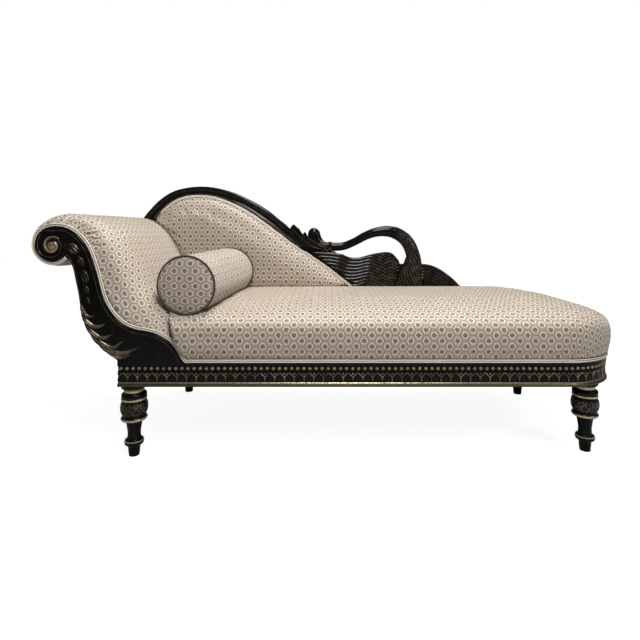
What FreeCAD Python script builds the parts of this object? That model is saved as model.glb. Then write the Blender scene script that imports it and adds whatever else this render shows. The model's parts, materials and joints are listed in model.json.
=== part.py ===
"""Recamier with a rolled head end, an arched half back and a carved swan."""
import FreeCAD, Part
import math
import os
from FreeCAD import Placement, Rotation, Vector

doc = FreeCAD.newDocument("Recamier")

# Driving sizes, in millimetres. +X runs to the foot end, -Y is the front.
sizes = {
    "centre_x": 2.8,
    "centre_y": 2.75,
    "rail_left": -652,
    "corner_x": 716.6,
    "corner_y": 116,
    "corner_radius": 200,
    "rail_thick": 50,
    "rail_bottom": 221,
    "rail_top": 301,
    "board_thick": 24,
    "frame_back": 292,
    "board_front": 266,
    "crest_front": 252,
    "wing_front": 248,
    "pad_back": 263.5,
    "pad_front": 204,
    "back_pad_foot": 464,
    "seat_foot": 306,
    "leg_left_x": -615,
    "leg_left_y": 281,
    "leg_right_x": 799,
    "leg_right_y": 251,
    "tenon_radius": 10,
    "tenon_length": 40,
    "fit_gap": 0.1,
    "soft_gap": 0.5,
    "eye_x": -849.8,
    "eye_z": 648.2,
    "eye_radius": 13,
    "groove_width": 4,
    "groove_depth": 3,
    "bolster_radius": 94.5,
    "bolster_length": 452,
    "cloth": 1.5,
}
sheet = doc.addObject("Spreadsheet::Sheet", "Sizes")
for row, (alias, value) in enumerate(sizes.items(), start=1):
    sheet.set("A%d" % row, alias)
    sheet.set("B%d" % row, str(value))
    sheet.setAlias("B%d" % row, alias)
doc.recompute()
made = []


def size(alias):
    return float(getattr(sheet, alias))


centre = Vector(size("centre_x"), size("centre_y"), 0)


def place(obj, x="0", y="0", z="0"):
    obj.setExpression("Placement.Base.x", "Sizes.centre_x + " + x)
    obj.setExpression("Placement.Base.y", "Sizes.centre_y + " + y)
    obj.setExpression("Placement.Base.z", z)


def body(name, x="0", y="0", z="0"):
    made_body = doc.addObject("PartDesign::Body", name)
    made_body.Label = name
    place(made_body, x, y, z)
    made.append(made_body)
    return made_body


def feature(name, shape):
    part = doc.addObject("Part::Feature", name)
    part.Label = name
    part.Shape = shape
    part.Placement = Placement(centre, Rotation())
    made.append(part)
    return part


def block(name, x0, x1, y0, y1, z0, z1):
    """A squared timber or a sheet between two limits along each axis."""
    box = doc.addObject("Part::Box", name)
    box.Label = name
    box.setExpression("Length", "(%s) - (%s)" % (x1, x0))
    box.setExpression("Width", "(%s) - (%s)" % (y1, y0))
    box.setExpression("Height", "(%s) - (%s)" % (z1, z0))
    place(box, "(%s)" % x0, "(%s)" % y0, z0)
    made.append(box)
    return box


def sketch(owner, name, role, x="0", y="0", z="0"):
    """A sketch on one of the body's own planes, shifted by expressions."""
    drawn = owner.newObject("Sketcher::SketchObject", name)
    support = [f for f in owner.Origin.OriginFeatures if f.Role == role][0]
    drawn.AttachmentSupport = [(support, "")]
    drawn.MapMode = "FlatFace"
    drawn.setExpression("AttachmentOffset.Base.x", x)
    drawn.setExpression("AttachmentOffset.Base.y", y)
    drawn.setExpression("AttachmentOffset.Base.z", z)
    return drawn


def curve(points):
    line = Part.BSplineCurve()
    line.interpolate([Vector(a, b, 0) for a, b in points])
    return line


def draw(drawn, runs):
    """Adds runs to a sketch: two points make a line, more make a smooth curve."""
    for points in runs:
        if len(points) == 2:
            ends = [Vector(a, b, 0) for a, b in points]
            drawn.addGeometry(Part.LineSegment(*ends), False)
        else:
            drawn.addGeometry(curve(points), False)


def polygon(drawn, points):
    draw(drawn, [[a, b] for a, b in zip(points, points[1:] + points[:1])])


def face(runs, depth):
    """A flat face in the X-Z plane at Y = depth, from the same kind of runs."""
    edges = []
    for points in runs:
        lifted = [Vector(a, depth, b) for a, b in points]
        if len(points) == 2:
            edges.append(Part.makeLine(*lifted))
        else:
            line = Part.BSplineCurve()
            line.interpolate(lifted)
            edges.append(line.toShape())
    return Part.Face(Part.Wire(edges))


def slab(runs, front, back):
    return face(runs, front).extrude(Vector(0, back - front, 0))


def offset(points, distance):
    """Moves an open outline to the right of its own direction."""
    moved = []
    last = len(points) - 1
    for i, (x, z) in enumerate(points):
        ahead = points[min(i + 1, last)]
        behind = points[max(i - 1, 0)]
        dx, dz = ahead[0] - behind[0], ahead[1] - behind[1]
        run = math.hypot(dx, dz)
        moved.append((x + distance * dz / run, z - distance * dx / run))
    return moved


def pad(owner, drawn, length, backwards=False):
    made_pad = owner.newObject("PartDesign::Pad", drawn.Name + "_pad")
    made_pad.Profile = drawn
    made_pad.setExpression("Length", length)
    made_pad.Reversed = backwards
    doc.recompute()
    return made_pad


def pocket(owner, drawn, length, backwards=False):
    before = owner.Shape.Volume
    cut = owner.newObject("PartDesign::Pocket", drawn.Name + "_cut")
    cut.Profile = drawn
    cut.setExpression("Length", length)
    cut.Reversed = backwards
    doc.recompute()
    assert owner.Shape.Volume < before - 1, drawn.Name
    return cut


def turn(owner, drawn, angle, backwards=False):
    turned = owner.newObject("PartDesign::Revolution", drawn.Name + "_turn")
    turned.Profile = drawn
    turned.ReferenceAxis = (drawn, ["V_Axis"])
    turned.Angle = angle
    turned.Reversed = backwards
    doc.recompute()
    return turned


# Seat frame
# Every rail and moulding shares one outline, given as the distance out from
# the corner centre and the height, so that straight and round parts meet.
outer = size("corner_radius")
inner = outer - size("rail_thick")
low, high = size("rail_bottom"), size("rail_top")
band = high - 17.5
bead_low, bead_high = low + 48, low + 60
base_high = low + 12
moulded_face = [
    (outer - 7, low), (outer - 7, base_high), (outer - 5, base_high),
    (outer - 5, low + 41), (outer - 2, low + 43), (outer - 2, low + 46),
    (outer - 6, bead_low), (outer - 6, bead_high), (outer, band), (outer, high),
]
base_profile = [
    (outer - 7, low), (outer + 1, low), (outer + 1, low + 5),
    (outer - 2, low + 10), (outer - 4, base_high), (outer - 7, base_high),
]


def front_profile(owner, points, start, tag):
    drawn = sketch(owner, owner.Name + tag, "YZ_Plane", "-Sizes.corner_y", "0", start)
    polygon(drawn, [(-out, z) for out, z in points])
    return drawn


def rear_profile(owner, points, start, tag):
    drawn = sketch(owner, owner.Name + tag, "YZ_Plane", "Sizes.corner_y", "0", start)
    polygon(drawn, [(out, z) for out, z in points])
    return drawn


def end_profile(owner, points, start, tag):
    drawn = sketch(owner, owner.Name + tag, "XZ_Plane", "Sizes.corner_x", "0", start)
    polygon(drawn, [(out, z) for out, z in points])
    return drawn


long_run = "Sizes.corner_x - Sizes.rail_left"
end_run = "2 * Sizes.corner_y"
rail_profile = moulded_face + [(inner, high), (inner, low)]


def leg_socket(owner, x, y):
    """The bore that takes a leg's tenon, from the underside of the rail."""
    drawn = sketch(owner, owner.Name + "_bore", "XY_Plane", x, y, "Sizes.rail_bottom")
    bore = Part.Circle(Vector(0, 0, 0), Vector(0, 0, 1), size("tenon_radius") + size("fit_gap"))
    drawn.addGeometry(bore, False)
    pocket(owner, drawn, "Sizes.tenon_length + 2", True)


front_rail = body("front_seat_rail")
pad(front_rail, front_profile(front_rail, rail_profile, "Sizes.rail_left", "_run"), long_run)
leg_socket(front_rail, "Sizes.leg_left_x", "-Sizes.leg_left_y")

back_rail = body("back_seat_rail")
plain_back = [(outer, low), (outer, high), (inner, high), (inner, low)]
pad(back_rail, rear_profile(back_rail, plain_back, "Sizes.rail_left", "_run"), long_run)
leg_socket(back_rail, "Sizes.leg_left_x", "Sizes.leg_left_y")

end_rail = body("end_seat_rail")
pad(end_rail, end_profile(end_rail, rail_profile, "Sizes.corner_y", "_run"), end_run, True)

corner_profile = moulded_face + [(inner * 0.62, high), (inner * 0.62, low)]
for name, side in (("front_corner_rail", "-"), ("rear_corner_rail", "")):
    corner = body(name)
    if side:
        start = front_profile(corner, corner_profile, "Sizes.corner_x", "_arc")
    else:
        start = rear_profile(corner, corner_profile, "Sizes.corner_x", "_arc")
    turn(corner, start, 90, not side)
    plan = sketch(corner, name + "_inside", "XY_Plane", "Sizes.corner_x", side + "Sizes.corner_y",
                  "Sizes.rail_top")
    out = -inner if side else inner
    polygon(plan, [(0, 0), (inner, 0), (0, out)])
    pocket(corner, plan, "Sizes.rail_top - Sizes.rail_bottom")
    leg_socket(corner, "Sizes.leg_right_x", side + "Sizes.leg_right_y")

block("head_seat_rail", "Sizes.rail_left", "Sizes.rail_left + Sizes.rail_thick",
      "Sizes.rail_thick - Sizes.corner_y - Sizes.corner_radius",
      "Sizes.corner_y + Sizes.corner_radius - Sizes.rail_thick",
      "Sizes.rail_bottom", "Sizes.rail_top")


def moulding(name, points, start):
    """A strip along the front, round the foot end and back to the rear corner."""
    strip = body(name)
    pad(strip, front_profile(strip, points, start, "_front"), "Sizes.corner_x - (%s)" % start)
    turn(strip, front_profile(strip, points, "Sizes.corner_x", "_near"), 90)
    pad(strip, end_profile(strip, points, "Sizes.corner_y", "_end"), end_run, True)
    turn(strip, rear_profile(strip, points, "Sizes.corner_x", "_far"), 90, True)
    return strip


moulding("base_moulding", base_profile, "Sizes.rail_left")
bead_mid = (bead_low + bead_high) / 2
bead_profile = []
for step in range(7):
    turned = math.radians(30 * step - 90)
    bead_profile.append((outer - 6 + 5.4 * math.cos(turned), bead_mid + 5.4 * math.sin(turned)))
moulding("bead_moulding", bead_profile, "Sizes.rail_left")

inside_front = "Sizes.rail_thick - Sizes.corner_y - Sizes.corner_radius"
inside_back = "Sizes.corner_y + Sizes.corner_radius - Sizes.rail_thick"
for name, x in (("head_stretcher", -230), ("foot_stretcher", 270)):
    block(name, str(x), str(x + 60), inside_front, inside_back, "240", "274")
block("webbing_batten", "-600", "Sizes.corner_x", "236", inside_back, "275", "Sizes.rail_top")

for name, side in (("front_glue_block", -1), ("rear_glue_block", 1)):
    glue = body(name)
    plan = sketch(glue, name + "_plan", "XY_Plane", "Sizes.rail_left + Sizes.rail_thick", "0",
                  "Sizes.rail_bottom + 4")
    wall = side * (size("corner_y") + inner)
    polygon(plan, [(0, wall), (90, wall), (0, wall - side * 90)])
    pad(glue, plan, "45")


def straps(name, boxes):
    solids = [Part.makeBox(x1 - x0, y1 - y0, z1 - z0, Vector(x0, y0, z0))
              for x0, x1, y0, y1, z0, z1 in boxes]
    return feature(name, Part.makeCompound(solids))


thin = size("cloth")
strap = 50
cross = [(x, x + strap, -290, 262, high, high + thin) for x in range(-560, 800, 110)
         if x + strap < size("corner_x")]
straps("cross_webbing", cross)
along = [(size("rail_left") + 6, size("corner_x") + 190, y, y + strap, high + thin, high + 2 * thin)
         for y in (-105, -25, 55)]
straps("long_webbing", along)


def plan_face(left, front, rear, right, radius, z):
    """The seat's plan: square at the head, round at both foot-end corners."""
    bend = radius * (1 - math.sqrt(0.5))
    a = Vector(right - radius, front, z)
    b = Vector(right, front + radius, z)
    c = Vector(right, rear - radius, z)
    d = Vector(right - radius, rear, z)
    head_front, head_rear = Vector(left, front, z), Vector(left, rear, z)
    edges = [
        Part.makeLine(head_front, a),
        Part.Arc(a, Vector(right - bend, front + bend, z), b).toShape(),
        Part.makeLine(b, c),
        Part.Arc(c, Vector(right - bend, rear - bend, z), d).toShape(),
        Part.makeLine(d, head_rear),
        Part.makeLine(head_rear, head_front),
    ]
    return Part.Wire(edges)


half = size("corner_y") + outer
right_end = size("corner_x") + outer
deck_z = high + 2 * thin + 0.2
deck = Part.Face(plan_face(-458, -half + 12, 246, right_end - 12, 170, deck_z))
feature("deck_cloth", deck.extrude(Vector(0, 0, thin)))

dust = body("dust_cover")
dust_plan = sketch(dust, "dust_plan", "XY_Plane", "0", "0", "Sizes.rail_bottom")
inset = 12
sweep = outer - inset
corners = [(size("corner_x"), -size("corner_y")), (size("corner_x"), size("corner_y"))]
draw(dust_plan, [
    [(size("rail_left") + inset, -half + inset), (size("corner_x"), -half + inset)],
    [(right_end - inset, -size("corner_y")), (right_end - inset, size("corner_y"))],
    [(size("corner_x"), half - inset), (size("rail_left") + inset, half - inset)],
    [(size("rail_left") + inset, half - inset), (size("rail_left") + inset, -half + inset)],
])
for (x, y), first in zip(corners, (-90, 0)):
    round_edge = Part.Circle(Vector(x, y, 0), Vector(0, 0, 1), sweep)
    span = Part.ArcOfCircle(round_edge, math.radians(first), math.radians(first + 90))
    dust_plan.addGeometry(span, False)
pad(dust, dust_plan, "Sizes.cloth", True)
leg_clear = sketch(dust, "dust_leg_clear", "XY_Plane", "0", "0", "Sizes.rail_bottom")
for x, y in ((size("leg_left_x"), size("leg_left_y")), (size("leg_right_x"), size("leg_right_y"))):
    for side in (-1, 1):
        leg_clear.addGeometry(Part.Circle(Vector(x, side * y, 0), Vector(0, 0, 1), 46), False)
pocket(dust, leg_clear, "Sizes.cloth + 1")

# Legs
# One turned outline, as radius and height, from the tip to the tenon.
leg_outline = [
    (0, 0), (15.5, 0), (18.5, 31), (27, 36), (29, 43), (27, 50), (20, 58), (19, 74), (25.5, 111),
    (38, 112), (39.5, 116.5), (38, 121), (35.5, 126), (40, 151), (38, 171), (39.5, 176.5),
    (37.5, 182), (39, 187), (37, 193), (30, 197), (31, 205), (38.5, 211), (38.5, 221),
    (10, 221), (10, 261), (0, 261),
]


def leg(name, x, y):
    turned = body(name, x, y)
    drawn = sketch(turned, name + "_outline", "XZ_Plane")
    polygon(drawn, leg_outline)
    turn(turned, drawn, 360)


leg("front_left_leg", "Sizes.leg_left_x", "-Sizes.leg_left_y")
leg("rear_left_leg", "Sizes.leg_left_x", "Sizes.leg_left_y")
leg("front_right_leg", "Sizes.leg_right_x", "-Sizes.leg_right_y")
leg("rear_right_leg", "Sizes.leg_right_x", "Sizes.leg_right_y")

# Scrolled head end
# The edge that carries the upholstery, from the foot up and round the volute.
scroll_edge = [
    (-459, 301), (-468, 321), (-480, 340), (-495, 357), (-513, 370), (-538, 382), (-565, 389),
    (-595, 394), (-622, 404), (-646, 420), (-668, 443), (-686, 472), (-698, 502), (-706, 532),
    (-713, 560), (-721, 587), (-730, 614), (-742, 641), (-758, 665), (-776, 683), (-795, 696),
    (-815, 703.5), (-837, 706.5), (-858, 704), (-879, 695), (-894, 679), (-901.5, 653),
    (-896, 629), (-876, 608), (-852, 599), (-831, 602.5), (-815, 612), (-806, 625),
]
scroll_outside = [
    (-806, 625), (-799, 612), (-790, 592), (-782, 565), (-778, 544), (-772, 517), (-767, 487),
    (-761, 451), (-752, 420), (-737, 389), (-716, 360), (-692, 334), (-671, 316), (-652, 301),
]
scroll_runs = [scroll_edge, scroll_outside, [scroll_outside[-1], scroll_edge[0]]]
eye_x, eye_z = size("eye_x"), size("eye_z")
spiral = []
for turned in range(115, 560, 25):
    reach = 50 - 0.08 * (turned - 90)
    angle = math.radians(turned)
    spiral.append((eye_x + reach * math.cos(angle), eye_z + reach * math.sin(angle)))
groove_path = offset(scroll_edge, -9)[1:22] + spiral
groove_left = offset(groove_path, -size("groove_width") / 2)
groove_right = offset(groove_path, size("groove_width") / 2)
groove_runs = [
    groove_left, [groove_left[-1], groove_right[-1]], groove_right[::-1],
    [groove_right[0], groove_left[0]],
]


def scroll(name, front, carved, backwards):
    board = body(name)
    drawn = sketch(board, name + "_outline", "XZ_Plane", "0", "0", "-(%s)" % front)
    draw(drawn, scroll_runs)
    pad(board, drawn, "Sizes.board_thick", True)
    line = sketch(board, name + "_volute", "XZ_Plane", "0", "0", "-(%s)" % carved)
    draw(line, groove_runs)
    pocket(board, line, "Sizes.groove_depth", backwards)
    return board


scroll("front_scroll", "-Sizes.frame_back - Sizes.board_thick",
       "-Sizes.frame_back - Sizes.board_thick", False)
scroll("rear_scroll", "Sizes.frame_back", "Sizes.frame_back + Sizes.board_thick", True)
for name, side in (("front_scroll_eye", "-"), ("rear_scroll_eye", "")):
    eye = body(name, "Sizes.eye_x", side + "(Sizes.frame_back + Sizes.board_thick)", "Sizes.eye_z")
    drawn = sketch(eye, name + "_outline", "XY_Plane")
    reach = -1 if side else 1
    wide = size("eye_radius")
    polygon(drawn, [(0, 0), (wide, 0), (wide, 2 * reach), (wide * 0.8, 5 * reach),
                    (wide * 0.45, 7.5 * reach), (0, 8.5 * reach)])
    turn(eye, drawn, 360)

rail_front = "-Sizes.frame_back"
rail_rear = "Sizes.frame_back"
top_rail = doc.addObject("Part::Cylinder", "head_top_rail")
top_rail.Label = "head_top_rail"
top_rail.Radius = 30
top_rail.setExpression("Height", "2 * Sizes.frame_back")
top_rail.Placement = Placement(centre + Vector(eye_x - 2, size("frame_back"), eye_z),
                               Rotation(Vector(1, 0, 0), 90))
made.append(top_rail)
block("head_mid_rail", "-752", "-710", rail_front, rail_rear, "455", "515")
block("head_low_rail", "-690", "-640", rail_front, rail_rear, "345", "385")

# The canvas behind the roll follows the scroll's edge, and the outside cover its back.
canvas_in = offset(scroll_edge, 0.4)[6:24]
canvas_out = offset(scroll_edge, 0.4 + thin)[6:24]
canvas_line = canvas_out + canvas_in[::-1]
canvas_runs = [[a, b] for a, b in zip(canvas_line, canvas_line[1:] + canvas_line[:1])]
feature("head_canvas", slab(canvas_runs, -291, 244))
cover_out = offset(scroll_outside, -0.3)[1:-1]
cover_in = offset(scroll_outside, -0.3 - thin)[1:-1]
feature("head_outside_cover", slab([cover_out, [cover_out[-1], cover_in[-1]], cover_in[::-1],
                                    [cover_in[0], cover_out[0]]], -291.7, 291.7))

# The rolled pad: each pair is a point on the scroll's edge and the point that
# the full padding reaches from it.
roll_pairs = [
    ((-470, 331), (-470, 333)), ((-483, 348), (-484, 370)), ((-511, 374), (-496, 404)),
    ((-566, 393), (-514, 431)), ((-625, 409), (-549, 461)), ((-664, 446), (-584, 504)),
    ((-687, 489), (-611, 551)), ((-704, 545), (-635, 601)), ((-725, 613), (-661, 649)),
    ((-738, 643), (-688, 691)), ((-759, 672), (-724, 722)), ((-793, 699), (-771, 745)),
    ((-836, 710.5), (-836, 750)), ((-881, 699), (-896, 726)), ((-905.5, 653), (-936, 664)),
    ((-899, 627), (-919, 610)), ((-877, 605), (-889, 588)), ((-851, 595.5), (-852, 582)),
    ((-828, 599), (-824, 590)), ((-812, 609), (-808, 604)),
]
back_of_roll = [scroll_pair[0] for scroll_pair in roll_pairs][::-1]


def roll_section(depth, share):
    """The pad's outline at one depth; share is how far it has swollen."""
    skin = [(a[0] + share * (b[0] - a[0]), a[1] + share * (b[1] - a[1])) for a, b in roll_pairs]
    lifted = [Vector(x, depth, z) for x, z in skin]
    seated = [Vector(x, depth, z) for x, z in back_of_roll]
    over = Part.BSplineCurve()
    over.interpolate(lifted)
    under = Part.BSplineCurve()
    under.interpolate(seated)
    return Part.Wire([over.toShape(), Part.makeLine(lifted[-1], seated[0]), under.toShape(),
                      Part.makeLine(seated[-1], lifted[0])])


swell = [(310, 0.12), (304, 0.42), (294, 0.66), (276, 0.87), (250, 0.98), (220, 1.0)]
sections = [roll_section(-depth, share) for depth, share in swell]
sections += [roll_section(depth, share) for depth, share in swell[::-1]]
roll = Part.makeLoft(sections, True, True)


def edge_band(points, near, far, front, back):
    """A flat cord that follows an outline."""
    first, second = offset(points, near), offset(points, far)
    return slab([first, [first[-1], second[-1]], second[::-1], [second[0], first[0]]], front, back)


feature("front_scroll_welt", edge_band(scroll_edge[:-1], 0.4, 6.4, -316, -310.5))
feature("rear_scroll_welt", edge_band(scroll_edge[:-1], 0.4, 6.4, 310.5, 316))

# Back
crest_out = [
    (-812, 660), (-818, 690), (-820, 716), (-807, 745), (-790, 769), (-768, 794.5), (-738, 824.7),
    (-703, 850.7), (-669, 868), (-630, 878.8), (-586.5, 885.3), (-543, 886.2), (-500, 881.8),
    (-457, 872.3), (-414, 859.3), (-370, 840), (-327, 818.3), (-297, 801), (-262, 777.2),
    (-228, 749), (-193, 721), (-176, 703.7),
]
crest_in = [
    (-766, 660), (-770, 680), (-769, 702), (-759, 725.3), (-746, 747), (-725, 775), (-694.5, 803),
    (-660, 827), (-625.4, 840), (-586.5, 846.4), (-543, 846.4), (-500, 842), (-457, 829),
    (-414, 811.8), (-370, 790.2), (-327, 764.2), (-284, 734), (-241, 701.6), (-197.5, 669),
    (-167, 645.4), (-141, 628), (-124, 615.2),
]
crest_runs = [
    crest_out, [crest_out[-1], crest_in[-1]], crest_in[::-1], [crest_in[0], crest_out[0]],
]
crest = body("crest_rail")
drawn = sketch(crest, "crest_outline", "XZ_Plane", "0", "0", "-Sizes.crest_front")
draw(drawn, crest_runs)
pad(crest, drawn, "Sizes.frame_back - Sizes.crest_front", True)
ridge_out, ridge_in = offset(crest_out, 9)[1:-1], offset(crest_in, -9)[1:-1]
drawn = sketch(crest, "crest_ridge", "XZ_Plane", "0", "0", "-Sizes.crest_front")
draw(drawn, [ridge_out, [ridge_out[-1], ridge_in[-1]], ridge_in[::-1],
             [ridge_in[0], ridge_out[0]]])
pad(crest, drawn, "Sizes.crest_front - Sizes.wing_front")

# The pad's border runs on from the crest down to the seat.
border = [
    (-124, 615.2), (-98, 602.6), (-62, 577), (-24, 551.5), (10, 526), (40, 502.5), (70, 479),
    (91, 461),
]
gap = size("soft_gap")
clear_crest_out = offset(crest_out, -gap)
clear_crest_in = offset(crest_in, gap)
notch = slab([clear_crest_out, [clear_crest_out[-1], clear_crest_in[-1]], clear_crest_in[::-1],
              [clear_crest_in[0], clear_crest_out[0]]], size("wing_front") - gap, size("frame_back") + gap)
roll_pad = roll.cut(notch)
feature("head_pad", max(roll_pad.Solids, key=lambda solid: solid.Volume))

# The space that the roll takes, grown by the clearance, for what lies against it.
roll_skin = offset([pair[1] for pair in roll_pairs], 1.2)
taken = [(-450, 300), (-454, 316)] + roll_skin[:15]
roll_space = slab([taken, [taken[-1], (-940, 300)], [(-940, 300), (-450, 300)]], -340, 340)

back_right = offset(border, 1)
back_left_x, foot = -700, size("back_pad_foot")
back_edge = offset(crest_in, 1)[4:-1] + [(-126, 614)]
back_edge[0] = (back_edge[0][0], back_edge[0][1])


def back_section(depth, share):
    """The back pad's outline at one depth, drawn in towards its foot."""
    hold_x, hold_z = -560, foot
    def near(points):
        return [(hold_x + share * (x - hold_x), hold_z + share * (z - hold_z)) for x, z in points]
    top = near(back_edge)
    side = near([back_edge[-1]] + [p for p in back_right[1:-1]])
    left = (top[0][0], hold_z)
    low_right = (side[-1][0] + 2, hold_z)
    runs = [top, side, [side[-1], low_right], [low_right, left], [left, top[0]]]
    return face(runs, depth).OuterWire


rim = size("pad_back")
crown = size("pad_front")
back_levels = [
    (rim, 1.0), (crown + 34, 1.0), (crown + 33.9, 0.977), (crown + 24, 0.965),
    (crown + 15, 0.935), (crown + 8, 0.885), (crown + 3, 0.80), (crown, 0.66),
]
back_soft = Part.makeLoft([back_section(y, s) for y, s in back_levels], True, True)
back_soft = back_soft.cut(roll_space)
feature("back_pad", max(back_soft.Solids, key=lambda solid: solid.Volume))

canvas_runs = [
    back_edge, [back_edge[-1]] + back_right[1:-1], [back_right[-2], (74, 310)],
    [(74, 310), (back_edge[0][0], 310)], [(back_edge[0][0], 310), back_edge[0]],
]
back_canvas = slab(canvas_runs, size("pad_back") + 0.5, size("board_front") - 0.3)
back_canvas = back_canvas.cut(roll_space)
feature("back_canvas", max(back_canvas.Solids, key=lambda solid: solid.Volume))
welt_line = crest_in[5:-1] + [(-124, 615.2)] + border[1:]
back_cord = edge_band(welt_line, 0.6, 6.8, crown + 28.5, crown + 33.7).cut(roll_space)
back_cord = back_cord.cut(Part.makeBox(200, 40, 60, Vector(0, crown + 15, foot - 62)))
feature("back_welt", max(back_cord.Solids, key=lambda solid: solid.Volume))

cover_top = offset(crest_out, 22)[4:-1] + [(-140, 640)]
cover_runs = [
    cover_top, [(-140, 640), (110, 450)], [(110, 450), (110, 302)],
    [(110, 302), (cover_top[0][0], 302)], [(cover_top[0][0], 302), cover_top[0]],
]
rear_edge = [(-440, 300), (-452, 330), (-470, 352)] + offset(scroll_edge, 9)[5:23]
rear_space = slab([rear_edge, [rear_edge[-1], (-940, 300)], [(-940, 300), (-440, 300)]], 280, 320)
outside = slab(cover_runs, size("frame_back") + 0.2, size("frame_back") + 0.2 + thin)
outside = outside.cut(roll_space).cut(rear_space)
feature("back_outside_cover", max(outside.Solids, key=lambda solid: solid.Volume))

# Swan
left_wing_top = [
    (14, 607), (27, 596), (48.5, 585.4), (83, 579), (117, 579), (147, 585.4), (178, 594),
    (212, 600.4), (238, 602.6), (259, 598.3), (276, 583.2), (289, 566), (293.6, 552),
]
right_wing_top = [
    (392.5, 552), (414, 549.5), (440, 542), (470, 527), (500, 505.8), (526, 484.3), (547, 463),
    (564.5, 447.8),
]
ledge = [(-124, 615.2), (-89, 613), (14, 607)]
board_border = offset(border, -gap)
board_border[0] = ledge[0]
base = 301
backboard = body("swan_backboard")
drawn = sketch(backboard, "backboard_outline", "XZ_Plane", "0", "0", "-Sizes.board_front")
draw(drawn, [
    board_border, [board_border[-1], (96, 440)], [(96, 440), (96, base)], [(96, base), (575, base)],
    [(575, base), (575, 440)], [(575, 440), right_wing_top[-1]], right_wing_top[::-1],
    [right_wing_top[0], left_wing_top[-1]], left_wing_top[::-1], [ledge[2], ledge[1]],
    [ledge[1], ledge[0]],
])
pad(backboard, drawn, "Sizes.frame_back - Sizes.board_front", True)


def feather_lines(owner, paths):
    """Grooves that part one long feather from the next."""
    drawn = sketch(owner, owner.Name + "_feathers", "XZ_Plane", "0", "0", "-Sizes.wing_front")
    for path in paths:
        one, other = offset(path, -1.6), offset(path, 1.6)
        draw(drawn, [one, [one[-1], other[-1]], other[::-1], [other[0], one[0]]])
    pocket(owner, drawn, "4.5")


breast_right, wing_foot = 399, high + 131
breast_side = [(298, 532), (284, 500), (272, 465), (269, wing_foot)]
left_wing = body("swan_left_wing")
drawn = sketch(left_wing, "left_wing_outline", "XZ_Plane", "0", "0", "-Sizes.wing_front")
draw(drawn, [
    board_border, [board_border[-1], (96, wing_foot)], [(96, wing_foot), breast_side[-1]],
    [breast_side[3], breast_side[2]], [breast_side[2], breast_side[1]],
    [breast_side[1], breast_side[0]], [breast_side[0], left_wing_top[-1]],
    left_wing_top[::-1], [ledge[2], ledge[1]], [ledge[1], ledge[0]],
])
pad(left_wing, drawn, "Sizes.board_front - Sizes.wing_front", True)
left_paths = []
for k in range(1, 7):
    left_paths.append([(x - 6 * k, z - 14.5 * k) for x, z in
                       ((-30 + 20 * k, 608), (30, 601), (75, 584), (120, 580), (172, 592))])
feather_lines(left_wing, left_paths)

right_wing = body("swan_right_wing")
drawn = sketch(right_wing, "right_wing_outline", "XZ_Plane", "0", "0", "-Sizes.wing_front")
draw(drawn, [
    right_wing_top, [right_wing_top[-1], (575, wing_foot)],
    [(575, wing_foot), (breast_right, wing_foot)], [(breast_right, wing_foot), (breast_right, 540)],
    [(breast_right, 540), right_wing_top[0]],
])
pad(right_wing, drawn, "Sizes.board_front - Sizes.wing_front", True)
feather_lines(right_wing, [offset(right_wing_top, 13 * k)[1:8 - k] for k in range(1, 5)])


def half_oval(x, wide, deep, z):
    """Half an oval that stands forward of the board, as four shallow arcs."""
    back = size("board_front")
    def at(angle):
        turned = math.radians(angle)
        return Vector(x - wide * math.cos(turned), back - deep * math.sin(turned), z)
    arcs = [Part.Arc(at(a), at(a + 22.5), at(a + 45)).toShape() for a in (0, 45, 90, 135)]
    return Part.Wire(arcs + [Part.makeLine(at(180), at(0))])


neck_x, neck_y, neck_foot = 352, 268, 552
# Levels of the breast: height, middle, half width and how far it stands forward.
breast_levels = [
    (552, neck_x, 40, 28), (530, 349, 46, 33), (500, 341, 53, 37), (465, 336, 60, 37),
    (wing_foot, 335, 62, 32),
]
breast = Part.makeLoft([half_oval(x, w, d, z) for z, x, w, d in breast_levels], True, True)
feature("swan_breast", breast)


def ring(x, z, along, wide, deep):
    """An oval across the neck; along is the angle that the neck runs at."""
    turned = math.radians(along)
    side = Vector(math.sin(turned), 0, -math.cos(turned))
    run = Vector(math.cos(turned), 0, math.sin(turned))
    frame = FreeCAD.Matrix(side.x * wide, 0, run.x, x, 0, deep, 0, neck_y,
                           side.z * wide, 0, run.z, z, 0, 0, 0, 1)
    return Part.Wire([Part.Circle().toShape().transformGeometry(frame)])


neck_rings = [
    (-6, 627.5, 0, 19, 18), (28, 627, 2, 18, 18), (61, 631, 16, 17.2, 18), (104, 649, 28, 16.8, 18),
    (147, 672.4, 26, 18, 19), (190, 688.4, 14, 19.7, 20.5), (236, 694.2, -3, 23, 22.5),
    (280, 686, -23, 25.3, 24), (318.5, 661.5, -48, 26.8, 25.5), (341, 630, -66, 27.8, 26.5),
    (355, 592, -83, 29.2, 28), (355.5, 570, -92, 34.5, 29), (neck_x, neck_foot, -90, 40.5, 30),
]


def between(rings, steps):
    """More rings on the smooth run through the given ones."""
    filled = []
    for k in range(len(rings) - 1):
        around = [rings[max(k - 1, 0)], rings[k], rings[k + 1], rings[min(k + 2, len(rings) - 1)]]
        for step in range(steps):
            t = step / steps
            filled.append([b + 0.5 * t * (c - a + t * (2 * a - 5 * b + 4 * c - d
                                                       + t * (3 * b - a - 3 * c + d)))
                           for a, b, c, d in zip(*around)])
    return filled + [rings[-1]]


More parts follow.
